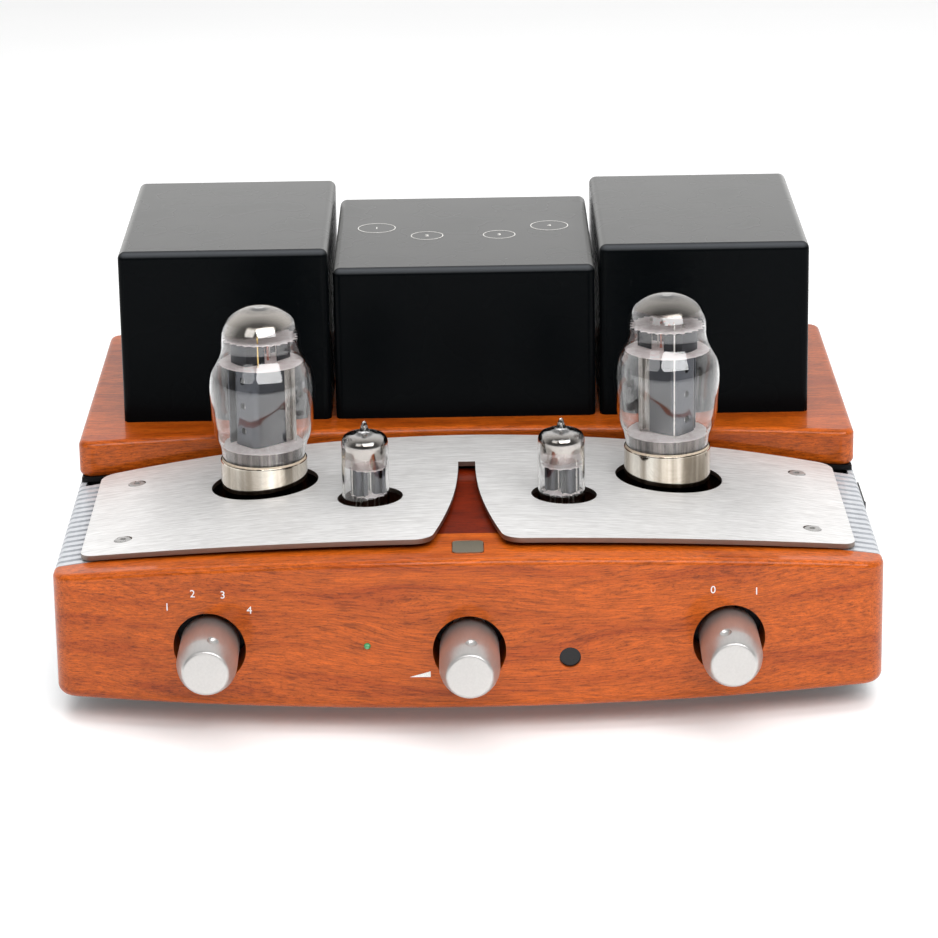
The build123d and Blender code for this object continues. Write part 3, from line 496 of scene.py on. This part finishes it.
def rod_into(bm, path, r, sides=12):
    """A round bar with flat ends along a path of points."""
    path = [Vector(p) for p in path]
    rings = []
    for i, p in enumerate(path):
        along = (path[min(i + 1, len(path) - 1)] - path[max(i - 1, 0)]).normalized()
        turn = Vector((0, 0, 1)).rotation_difference(along)
        rings.append([bm.verts.new(p + turn @ Vector((*around(r, 2 * pi * k / sides), 0))) for k in range(sides)])
    for low, high in zip(rings, rings[1:]):
        for k in range(sides):
            bm.faces.new((low[k], low[(k + 1) % sides], high[(k + 1) % sides], high[k]))
    bm.faces.new(rings[0])
    bm.faces.new(rings[-1])


def slab_into(bm, outline, low, high, place):
    """A flat plate from an (x, y) outline, all in millimetres, put in place by a matrix."""
    bottom, top = ([bm.verts.new(place @ Vector((x, y, h * MM))) for x, y in in_mm(outline)] for h in (low, high))
    bm.faces.new(bottom)
    bm.faces.new(top)
    for i in range(len(outline)):
        j = (i + 1) % len(outline)
        bm.faces.new((bottom[i], bottom[j], top[j], top[i]))


def upright(place, x, y, low, high):
    """The two ends of an upright line, in millimetres, put in place by a matrix."""
    return [place @ Vector((x * MM, y * MM, h * MM)) for h in (low, high)]


def hoop_into(bm, place, r, height):
    """A getter's wire ring, in millimetres, level round a matrix's upright axis."""
    count = 24
    turns = [around(r, 2 * pi * i / count) for i in range(count + 1)]
    rod_into(bm, [place @ Vector((x * MM, y * MM, height * MM)) for x, y in turns], 0.5 * MM, 8)


def cut_away(made, tool):
    """Cut the solid in a bmesh out of a piece."""
    cutter = linked("cutter", from_bmesh(tool))
    cut = made.modifiers.new("cut", "BOOLEAN")
    cut.operation = "DIFFERENCE"
    cut.solver = "EXACT"
    cut.object = cutter
    result = evaluated_mesh(made)
    made.modifiers.clear()
    made.data = result
    soften(result, 30)
    bpy.data.objects.remove(cutter)


def middle(node):
    """The middle of a CAD node's box."""
    low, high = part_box(node)
    return (low + high) / 2


# ============================== CAD nodes get their looks ==============================
slot_of = {entry["node"]: entry["material_slot"] for entry in frame["record"]["subparts"]}
for name, cad in frame["nodes"].items():
    cad.data.materials.clear()
    cad.data.materials.append(CAD_LOOKS[slot_of[name]])


# ============================== power valves ==============================
def toothed_disc(r, teeth, depth):
    """Outline of a mica disc with pointed teeth round its edge."""
    reach = (r, r - depth * 0.8, r - depth, r - depth * 0.8)
    return [around(reach[i % 4], pi * i / (2 * teeth)) for i in range(teeth * 4)]


def rounded_box(half_x, half_y, corner):
    """Outline of a rectangle with round corners, from 6 chords each."""
    out = []
    for cx, cy, start in ((1, 1, 0), (-1, 1, 90), (-1, -1, 180), (1, -1, 270)):
        for i in range(7):
            dx, dy = around(corner, radians(start + 15 * i))
            out.append((cx * (half_x - corner) + dx, cy * (half_y - corner) + dy))
    return out


# In millimetres. Heights are over the power valve's seat in its socket.
POWER_PROFILE = [(17.8, 16.2), (18.5, 21.5), (19.9, 28.5), (21.5, 32.5), (22.8, 38.0), (23.6, 45.0), (24.1, 51.0),
                 (24.12, 57.0), (23.2, 62.5), (21.2, 66.5), (19.1, 70.5), (18.2, 74.0), (18.05, 78.0), (17.4, 82.3),
                 (15.2, 86.6), (11.4, 89.8), (6.2, 91.9), (0.0, 92.7)]
POWER_WALL = 1.0
SILVER_GAP = 0.12           # between the bulb's inner face and its silvering
SILVER_T = 0.05
ANODE_LOW, ANODE_HIGH = 29.2, 66.8
ANODE_HOLE_R = 1.7
MICA_T = 0.45
# the height, radius, number of teeth and depth of the teeth of each mica
POWER_MICAS = ((28.2, 18.2, 30, 0.25), (66.9, 19.0, 30, 0.25), (78.2, 16.95, 26, 1.6))
COLLAR_RIM = [(19.7, 20.6), (19.74, 21.1), (19.55, 21.5), (19.1, 21.4), (19.0, 21.0)]

# What differs between the two power valves.
LIFT = {"left": 0.0, "right": 2.8}                  # how far the valve stands off its socket
COLLAR_FOOT = {"left": 3.6, "right": -2.0}          # height of its lower edge
ANODE_TURN = {"left": 41.0, "right": -40.0}         # degrees, anticlockwise from above
ANODE_HOLES = {"left": (36.3, 47.9, 59.6), "right": (35.8, 47.6, 59.0)}     # their heights
FLANGE = {"left": (1, 6.6, 12.4), "right": (-1, 3.8, 9.6)}      # its end of the broad face, from, to
WIRE = {"left": (-0.6, 66.5, GOLD), "right": (2.5, 24.0, ROD)}      # front wire: its X, its foot, its look
FLASH_EDGE = {"left": 82.0, "right": 83.6}          # height of the silvering's lower edge
FLASH_LEAN = {"left": (0.15, 0.0), "right": (-0.07, -0.10)}     # how fast it rises along X and along Y
SILVERING = {"left": (0.43, 0.395, 0.355), "right": (0.25, 0.23, 0.205)}


def shell(profile, wall):
    """Closed outline with a wall inwards of an outer profile that ends on the axis."""
    inner = []
    for i, (r, h) in enumerate(profile):
        before, after = profile[max(i - 1, 0)], profile[min(i + 1, len(profile) - 1)]
        dr, dh = after[0] - before[0], after[1] - before[1]
        length = sqrt(dr * dr + dh * dh)
        inner.append((max(r - wall * dh / length, 0.0), h + wall * dr / length))
    inner[-1] = (0.0, profile[-1][1] - wall)
    return profile + inner[::-1]


def power_valve(side):
    """The bulb, silvering, electrode cage, stem and collar of one power valve."""
    body = f"power_tube_{side}"
    centre, glass_low = middle(f"{body}_glass"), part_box(f"{body}_glass")[0]
    seat = Vector((centre.x, centre.y, glass_low.z + (LIFT[side] - POWER_PROFILE[0][1]) * MM))
    at = Matrix.Translation(seat)
    spin = at @ Matrix.Rotation(radians(ANODE_TURN[side]), 4, "Z")

    def inner_part(name, bm, material, smooth=40):
        return piece(f"{body}_{name}", from_bmesh(bm), material, body, smooth)

    profile = in_mm(smoothed(POWER_PROFILE))
    bulb = lathe(f"{body}_bulb", shell(profile, POWER_WALL * MM), seat, GLASS, body)
    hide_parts(f"{body}_glass")

    # silvering: inwards of the bulb's wall on the sides, and more and more below it towards the axis
    crown = 9 * MM
    inside = []
    for r, h in profile:
        if h > 76 * MM:
            r, h = max(r - (POWER_WALL + SILVER_GAP) * MM, 0.0), h - SILVER_GAP * MM
            if r < crown:
                h -= POWER_WALL * MM * (1 - r / crown)
            inside.append((r, h))
    inside[-1] = (0.0, profile[-1][1] - (POWER_WALL + 0.15) * MM)
    flash = getter_flash(f"getter_flash_{side}", seat, seat.z + FLASH_EDGE[side] * MM, blur=1.6 * MM,
                         lean=FLASH_LEAN[side], gloss=0.13, silver=SILVERING[side])
    lathe(f"{body}_getter_flash", shell(inside, SILVER_T * MM), seat, flash, body)

    # anode: an open box with three holes in each narrow face
    bm = bmesh.new()
    outer_low, outer_high, inner_low, inner_high = (
        [bm.verts.new(spin @ Vector((x, y, h * MM))) for x, y in in_mm(outline)]
        for outline in (rounded_box(11.0, 8.0, 3.6), rounded_box(10.5, 7.5, 3.1)) for h in (ANODE_LOW, ANODE_HIGH))
    for i in range(len(outer_low)):
        j = (i + 1) % len(outer_low)
        bm.faces.new((outer_low[i], outer_low[j], outer_high[j], outer_high[i]))
        bm.faces.new((inner_low[j], inner_low[i], inner_high[i], inner_high[j]))
        bm.faces.new((outer_high[i], outer_high[j], inner_high[j], inner_high[i]))
        bm.faces.new((outer_low[j], outer_low[i], inner_low[i], inner_low[j]))
    anode = inner_part("anode", bm, ANODE)
    drill = bmesh.new()
    for h in ANODE_HOLES[side]:
        for end in (-1, 1):
            path = [spin @ Vector((end * x * MM, 0, h * MM)) for x in (8.5, 14)]
            rod_into(drill, path, ANODE_HOLE_R * MM, 24)
    cut_away(anode, drill)

    # flanges: two stepped sheets on each broad face
    end, near, far = FLANGE[side]
    for where, x, y, look in (("front", end, -1, FOIL), ("rear", -end, 1, ANODE)):
        bm = bmesh.new()
        for step, inset in ((0.0, 0.0), (1.7, 3.4)):
            x0, x1 = x * (near + inset), x * (far - 0.3 * inset)
            y0, y1 = y * (8.1 + step), y * (8.45 + step)
            slab_into(bm, [(x0, y0), (x1, y0), (x1, y1), (x0, y1)], ANODE_LOW + 0.1, ANODE_HIGH - 0.1, spin)
        inner_part(f"{where}_flanges", bm, look)

    # what shows through the anode's holes: the grids as a black sheet without gloss, their dark metal with painted
    # shade inside the anode
    bm = bmesh.new()
    slab_into(bm, rounded_box(9.7, 6.7, 2.3), ANODE_LOW - 0.2, ANODE_HIGH, spin)
    inner_part("grids", bm, GRID_BLACK_AND_SHADE)

    bm = bmesh.new()
    for h, r, teeth, depth in POWER_MICAS:
        slab_into(bm, toothed_disc(r, teeth, depth), h, h + MICA_T, spin)
    inner_part("micas", bm, MICA, smooth=0)

    bm = bmesh.new()
    for x in (-9.2, 9.2):
        rod_into(bm, upright(spin, x, 0, 21, 80), 0.65 * MM)
    for x in (-5.2, 5.2):
        rod_into(bm, upright(spin, x, 0, 22, 76.5), 0.45 * MM)
    hoop_into(bm, at, 6.0, 83.0)
    inner_part("rods", bm, ROD)

    bm = bmesh.new()
    wire_x, wire_low, look = WIRE[side]
    rod_into(bm, upright(at, wire_x, -12.4, wire_low, 82), 0.36 * MM)
    inner_part("front_wire", bm, look)

    bm = bmesh.new()
    for x, y in ((-2.6, -1.2), (2.6, 1.2), (-2.6, 1.6), (2.6, -1.8)):
        rod_into(bm, upright(spin, x, y, 67, 79.5), 0.55 * MM)
    inner_part("grid_rods", bm, COPPER)

    # radiator wings on the grid rods, between the two upper micas
    bm = bmesh.new()
    for x in (-1, 1):
        wing = [(x * 3.6, -7.4), (x * 12.6, -5.6), (x * 13.4, 0), (x * 12.6, 5.6), (x * 3.6, 7.4),
                (x * 3.6, 6.9), (x * 12.2, 5.2), (x * 12.9, 0), (x * 12.2, -5.2), (x * 3.6, -6.9)]
        slab_into(bm, wing, 67.8, 77.0, spin)
    inner_part("radiator_wings", bm, GRAPHITE, smooth=20)

    # stem shield under the lowest mica, glass press, cement bead and collar
    shield = in_mm([(16.4, 20.9), (16.8, 20.9), (17.2, 28.1), (16.8, 28.1)])
    electrode_cage = lathe(f"{body}_stem_shield", shield, seat, STEM, body)
    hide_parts(f"{body}_electrodes")
    stem = smoothed([(0.0, 27.5), (4.5, 27.2), (7.0, 24.5), (11.5, 21.4), (15.8, 20.6)])
    lathe(f"{body}_press", in_mm(stem + [(15.8, 19.6), (0.0, 19.6)]), seat, GLASS, body)
    bead = in_mm([(18.62, 20.3), (18.97, 20.3), (18.97, 21.9), (18.85, 22.3), (18.70, 22.0)])
    lathe(f"{body}_cement", bead, seat, CEMENT, body)
    foot = COLLAR_FOOT[side]
    collar = ([(16.6, foot), (19.2, foot), (19.55, foot + 0.15), (19.7, foot + 0.6)] + COLLAR_RIM
              + [(19.0, foot + 1.2), (18.4, foot + 0.9), (16.6, foot + 0.9)])
    ring = lathe(f"{body}_collar_shell", in_mm(collar), seat, COLLAR, body)
    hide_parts(f"{body}_collar")


# ============================== small valves ==============================
def small_wall(foot, shoulder):
    """Outline of one face of a small valve's bulb: flat below, straight up its side, rounded to its top."""
    side_r = shoulder[0][0]
    return foot[:2] + smoothed(foot[2:], 3) + [(side_r, 20.0), (side_r, 36.0)] + smoothed(shoulder, 4)


# In millimetres. Heights are over the lower end of the small valve's glass.
SMALL_OUTER = small_wall([(0.0, 0.0), (8.6, 0.0), (9.6, 0.25), (10.4, 1.1), (10.6, 2.4)],
                         [(10.6, 37.8), (10.35, 40.2), (9.35, 42.2), (7.2, 43.5), (4.2, 44.0), (2.6, 44.8),
                          (1.75, 46.1), (1.35, 47.4), (1.0, 48.5), (0.5, 49.1), (0.0, 49.2)])
SMALL_INNER = small_wall([(0.0, 2.2), (8.0, 2.2), (9.0, 2.6), (9.6, 3.4), (9.7, 4.6)],
                         [(9.7, 37.6), (9.45, 39.8), (8.55, 41.5), (6.6, 42.6), (3.6, 43.1), (1.6, 43.6),
                          (0.0, 44.0)])
SMALL_SILVERING = (0.36, 0.33, 0.30)
SMALL_MICAS = (15.4, 27.6)
NOVAL_PINS = 9              # at a tenth of a turn each, with one place left free
NOVAL_R = 5.94


def small_valve(side, turn, shift, flash_edge):
    """A small valve. Its cage is turned by `turn` degrees and stands `shift` mm off the bulb's middle."""
    body = f"small_tube_{side}"
    centre, glass_low = middle(f"{body}_glass"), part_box(f"{body}_glass")[0]
    seat = Vector((centre.x, centre.y, glass_low.z))
    cage_at = seat + Vector((shift * MM, 0, 0))
    at = Matrix.Translation(seat)
    spin = Matrix.Translation(cage_at) @ Matrix.Rotation(radians(turn), 4, "Z")

    # the outlines run so that the outer face looks out and the inner one looks in
    bm = bmesh.new()
    lathe_into(bm, in_mm(SMALL_OUTER), seat)
    lathe_into(bm, in_mm(SMALL_INNER[::-1]), seat)
    bulb = piece(f"{body}_bulb", from_bmesh(bm, outward=False), GLASS, body)
    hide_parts(f"{body}_glass")

    top = [(r - 0.12, h - 0.1) for r, h in SMALL_INNER if h > 29 and r > 0.3]
    inside = in_mm([(9.58, 29.0)] + top + [(0.0, 43.85)])
    flash = getter_flash(f"small_getter_flash_{side}", seat, seat.z + flash_edge * MM, blur=1.5 * MM,
                         lean=(0.0, 0.05), gloss=0.08, silver=SMALL_SILVERING, haze=0.30, haze_depth=4 * MM)
    lathe(f"{body}_getter_flash", shell(inside, SILVER_T * MM), seat, flash, body)

    bm = bmesh.new()
    for h in SMALL_MICAS:
        slab_into(bm, toothed_disc(9.5 - abs(shift), 12, 1.2), h, h + 0.4, spin)
    piece(f"{body}_micas", from_bmesh(bm), MICA, body, smooth=0)

    # two anodes side by side, with a fin at the front and back of each
    bm = bmesh.new()
    for x in (-4.3, 4.3):
        slab_into(bm, [(x + dx, dy) for dx, dy in rounded_box(3.0, 4.2, 1.6)], 15.9, 27.5, spin)
        for y in (-1, 1):
            fin = [(x - 0.25, y * 4.0), (x + 0.25, y * 4.0), (x + 0.25, y * 6.2), (x - 0.25, y * 6.2)]
            slab_into(bm, fin, 16.2, 27.2, spin)
    cage = piece(f"{body}_anodes", from_bmesh(bm), ANODE, body)
    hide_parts(f"{body}_electrodes")

    # pins and their leads to the lower mica, rods, getter stay and getter ring
    bm = bmesh.new()
    for i in range(NOVAL_PINS):
        a = pi / 2 + 2 * pi * (i + 1) / (NOVAL_PINS + 1)
        x, y = around(NOVAL_R, a)
        rod_into(bm, upright(at, x, y, -7, 3.5), 0.49 * MM)
        end_x, end_y = around(5.0, a)
        lead = [at @ Vector((x * MM, y * MM, 3.4 * MM)), cage_at + Vector((end_x * MM, end_y * MM, 15.3 * MM))]
        rod_into(bm, lead, 0.32 * MM)
    for x, y in ((0, -2.6), (0, 2.6), (-7.6, 0), (7.6, 0)):
        rod_into(bm, upright(spin, x, y, 13.8, 31.5), 0.4 * MM)
    rod_into(bm, [spin @ Vector((0, 2.6 * MM, 31.4 * MM)), spin @ Vector((0, 3.0 * MM, 38.5 * MM))], 0.35 * MM)
    hoop_into(bm, spin, 3.2, 38.8)
    piece(f"{body}_pins_and_rods", from_bmesh(bm), ROD, body)


for side in ("left", "right"):
    power_valve(side)
small_valve("left", turn=24, shift=1.2, flash_edge=33.0)
small_valve("right", turn=-35, shift=0.2, flash_edge=34.6)


# ============================== knobs ==============================
# In millimetres.
KNOB_NOSE = [(8.4, 0.0), (9.3, 0.15), (10.0, 0.8), (10.6, 2.0), (11.6, 4.6), (12.6, 7.9), (13.1, 11.2)]
DIMPLE_R = 3.1              # radius of the ball that the dimple is cut with
DIMPLE_REACH = 13.9         # from the knob's axis to the ball's middle
DIMPLE_BACK = 7.4           # from the knob's face to the ball's middle


def turned_knob(name, angle):
    """A knob with a soft edge round its face and a dimple that points `angle` degrees clockwise from up."""
    low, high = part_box(f"{name}_knob")
    axis = middle(f"{name}_knob")
    length = (high.y - low.y) / MM
    outline = [(0.0, 0.0)] + smoothed(KNOB_NOSE, 5) + [(13.1, 16.0), (12.9, length), (0.0, length)]
    bm = bmesh.new()
    lathe_into(bm, in_mm(outline), Vector((0, 0, 0)))
    bm.transform(Matrix.Translation((axis.x, low.y, axis.z)) @ Matrix.Rotation(-pi / 2, 4, "X"))
    made = piece(f"{name}_knob_shell", from_bmesh(bm), KNOB, name)
    up, right = around(DIMPLE_REACH * MM, radians(angle))
    ball = bmesh.new()
    at = Matrix.Translation((axis.x + right, low.y + DIMPLE_BACK * MM, axis.z + up))
    bmesh.ops.create_uvsphere(ball, u_segments=48, v_segments=32, radius=DIMPLE_R * MM, matrix=at)
    cut_away(made, ball)
    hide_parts(f"{name}_knob")


for name, angle in (("selector", 15), ("volume", 4), ("monitor", -15)):
    turned_knob(name, angle)


# ============================== print ==============================
def projector(node, direction):
    """A function that moves a point along a direction, onto a CAD node."""
    mesh = frame["nodes"][node].data
    tree = BVHTree.FromPolygons([v.co for v in mesh.vertices], [tuple(p.vertices) for p in mesh.polygons])
    back = direction * 0.3      # enough to start outside the object

    def drop(point):
        hit = tree.ray_cast(point - back, direction)[0]
        return hit if hit is not None else point
    return drop


to_front = projector("front_panel", Vector((0, 1, 0)))
to_cover = projector("cover_centre", Vector((0, 0, -1)))


def front_point(u, v, w):
    """u to the right, v up and w out of the wooden front."""
    hit = to_front(Vector((u, 0, v)))
    return Vector((u, hit.y - w - PRINT_GAP, v))


def cover_point(u, v, w):
    """u to the right, v back and w out of the centre cover's top."""
    hit = to_cover(Vector((u, v, 0)))
    return Vector((u, v, hit.z + w + PRINT_GAP))


def numeral(text, x, y, size, place):
    """Raised print of a number, centred on (x, y) of a surface."""
    curve = bpy.data.curves.new("numeral", "FONT")
    curve.body = text
    curve.size = size
    curve.align_x = "CENTER"
    curve.align_y = "CENTER"
    curve.extrude = PRINT_T / 2
    curve.resolution_u = 6
    carrier = linked("numeral", curve)
    mesh = evaluated_mesh(carrier)
    bpy.data.objects.remove(carrier)
    for v in mesh.vertices:
        v.co = place(x + v.co.x, y + v.co.y, v.co.z + PRINT_T / 2)
    return mesh


def strip(points, width, place):
    """Printed line of constant width through (x, y) points of a surface."""
    bm = bmesh.new()
    rows = []
    for i, p in enumerate(points):
        along = (Vector(points[min(i + 1, len(points) - 1)]) - Vector(points[max(i - 1, 0)])).normalized()
        across = Vector((-along.y, along.x)) * width / 2
        row = []
        for sign in (-1, 1):
            for w in (0.0, PRINT_T):
                q = Vector(p) + across * sign
                row.append(bm.verts.new(place(q.x, q.y, w)))
        rows.append(row)
    for a, b in zip(rows, rows[1:]):
        for i, j in ((0, 1), (1, 3), (3, 2), (2, 0)):
            bm.faces.new((a[i], a[j], b[j], b[i]))
    for row in (rows[0], rows[-1]):
        bm.faces.new((row[0], row[1], row[3], row[2]))
    return from_bmesh(bm)


def on_dial(knob, angle, r):
    """A place at an angle, clockwise from up, round a knob's axis."""
    centre = middle(knob)
    up, right = around(r, radians(angle))
    return centre.x + right, centre.z + up


def front_print(name, mesh):
    piece(name, mesh, PRINT, "chassis", smooth=0)


def cover_print(name, mesh):
    piece(name, mesh, PRINT, "chassis", smooth=0)


DIAL_NUMERAL = 4.8 * MM
for i, angle in enumerate((-45, -15, 15, 45)):
    x, z = on_dial("selector_knob", angle, 25.5 * MM)
    front_print(f"selector_numeral_{i + 1}", numeral(str(i + 1), x, z, DIAL_NUMERAL, front_point))
for i, angle in enumerate((-17, 29)):
    x, z = on_dial("monitor_knob", angle, 24.5 * MM)
    front_print(f"monitor_numeral_{i}", numeral(str(i), x, z, DIAL_NUMERAL, front_point))

# a wedge that grows to the right stands for the volume
wedge = bmesh.new()
wedge_x, wedge_z = middle("volume_knob").x - 26 * MM, middle("volume_knob").z - 11.8 * MM
corners = [(wedge_x, wedge_z), (wedge_x + 9 * MM, wedge_z), (wedge_x + 9 * MM, wedge_z + 2.6 * MM)]
ends = [[wedge.verts.new(front_point(u, v, w)) for u, v in corners] for w in (0.0, PRINT_T)]
wedge.faces.new(ends[0])
wedge.faces.new(ends[1])
for i in range(3):
    j = (i + 1) % 3
    wedge.faces.new((ends[0][i], ends[0][j], ends[1][j], ends[1][i]))
front_print("volume_wedge", from_bmesh(wedge))

COVER_RINGS = [(-42.2, 96.7, 9.1), (-17.5, 80.4, 7.7), (17.5, 80.4, 7.7), (42.2, 96.7, 9.1)]     # x, y, radius
COVER_NUMERAL = 4.5 * MM
RING_CHORDS = 48
for i, (x, y, r) in enumerate(COVER_RINGS):
    x, y, r = x * MM, y * MM, r * MM
    turns = [around(r, 2 * pi * k / RING_CHORDS) for k in range(RING_CHORDS + 1)]
    cover_print(f"cover_ring_{i + 1}", strip([(x + dx, y + dy) for dx, dy in turns], 0.35 * MM, cover_point))
    cover_print(f"cover_numeral_{i + 1}", numeral(str(i + 1), x, y, COVER_NUMERAL, cover_point))


# ============================== rear connections ==============================
JACK_FIRST_X, JACK_PITCH, JACK_COLUMNS = -158, 18, 6
mouth_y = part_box("input_jacks")[1].y - 0.1 * MM     # just inside the jacks' outer ends
for row, (z, look) in enumerate(((29, INSULATOR_RED), (49, INSULATOR))):
    bm = bmesh.new()
    for column in range(JACK_COLUMNS):
        x = JACK_FIRST_X + JACK_PITCH * column
        place = Matrix.Translation((x * MM, mouth_y, z * MM)) @ Matrix.Rotation(-pi / 2, 4, "X")
        start = len(bm.verts)
        lathe_into(bm, in_mm([(1.75, 0.0), (3.5, 0.0), (3.5, 0.4), (1.75, 0.4)]), Vector((0, 0, 0)), 32)
        bm.verts.ensure_lookup_table()
        for vertex in bm.verts[start:]:
            vertex.co = place @ vertex.co
    piece(f"jack_insulators_{row + 1}", from_bmesh(bm), look, "chassis")


# ============================== floor, light and camera ==============================
def floor():
    """White paper, much larger than the camera's view, that glows faintly."""
    bm = bmesh.new()
    bmesh.ops.create_grid(bm, x_segments=24, y_segments=24, size=3.0)
    made = linked("floor", from_bmesh(bm, outward=False))
    made.location.z = cad_box[0][2]
    s = Shader("paper", Roughness=0.6, Specular_IOR_Level=0.3, Emission_Color=(1, 1, 1, 1), Emission_Strength=0.10)
    s.feed("Base Color", s.ramp(s.noise(s.stretched(3, 3, 3)), (0.3, 0.90), (0.7, 0.93)))
    made.data.materials.append(s.material)


def softbox(name, place, aim, width, height, watts, sparkle=1.0, mirrored=True):
    """A rectangular light. Clear glass sees it `sparkle` times as bright.

    `mirrored` is whether gloss mirrors it and whether it is seen through glass.
    """
    light = bpy.data.lights.new(name, "AREA")
    light.shape = "RECTANGLE"
    light.size = width
    light.size_y = height
    light.energy = watts
    light.use_nodes = True
    n = Nodes(light.node_tree)
    sharp = n.node("ShaderNodeLightPath").outputs["Is Singular Ray"]
    n.link(n.math("MULTIPLY_ADD", sharp, sparkle - 1, 1), n.tree.nodes["Emission"].inputs["Strength"])
    lamp = linked(name, light)
    lamp.location = place
    lamp.visible_glossy = mirrored
    lamp.visible_transmission = mirrored
    lamp.rotation_euler = (Vector(aim) - Vector(place)).to_track_quat("-Z", "Y").to_euler()


def studio():
    """A white room, darker towards the camera, with two softboxes in front and a large one above."""
    world = bpy.data.worlds.new("studio")
    bpy.context.scene.world = world
    world.use_nodes = True
    n = Nodes(world.node_tree)
    y = n.axis("Y", n.node("ShaderNodeTexCoord").outputs["Generated"])
    room = n.ramp(n.math("MULTIPLY_ADD", y, 0.5, 0.5), (0.05, 0.10), (0.36, 0.16), (0.55, 0.55), (0.80, 1.0))
    seen = n.mix(n.node("ShaderNodeLightPath").outputs["Is Camera Ray"], room, (1.0, 1.0, 1.0))
    n.link(seen, n.tree.nodes["Background"].inputs["Color"])
    n.tree.nodes["Background"].inputs["Strength"].default_value = 1.0
    aim = (0.0, -0.06, 0.13)
    softbox("key", (0.45, -1.20, 1.15), aim, width=1.6, height=0.9, watts=23, sparkle=16)
    softbox("fill", (-0.80, -1.15, 1.10), aim, width=0.75, height=0.8, watts=3.0, sparkle=6)
    softbox("top", (0.0, 0.1, 1.9), (0.0, 0.0, 0.1), width=2.2, height=1.6, watts=31, mirrored=False)


def camera():
    """The photograph's view, from in front and above, level but for a slight roll."""
    place = (0.0011, -1.7148, 0.6182)
    right = Vector((0.9998708, -0.00488498, -0.0153142))
    up = Vector((0.0160744, 0.30595827, 0.95190921))
    data = bpy.data.cameras.new("camera")
    data.sensor_width = 36.0
    data.lens = 146.17
    made = linked("camera", data)
    turn = Matrix((right, up, right.cross(up))).transposed()
    made.matrix_world = Matrix.Translation(place) @ turn.to_4x4()
    bpy.context.scene.camera = made


floor()
studio()
camera()
bpy.context.scene.view_settings.view_transform = "Standard"

bpy.context.view_layer.update()
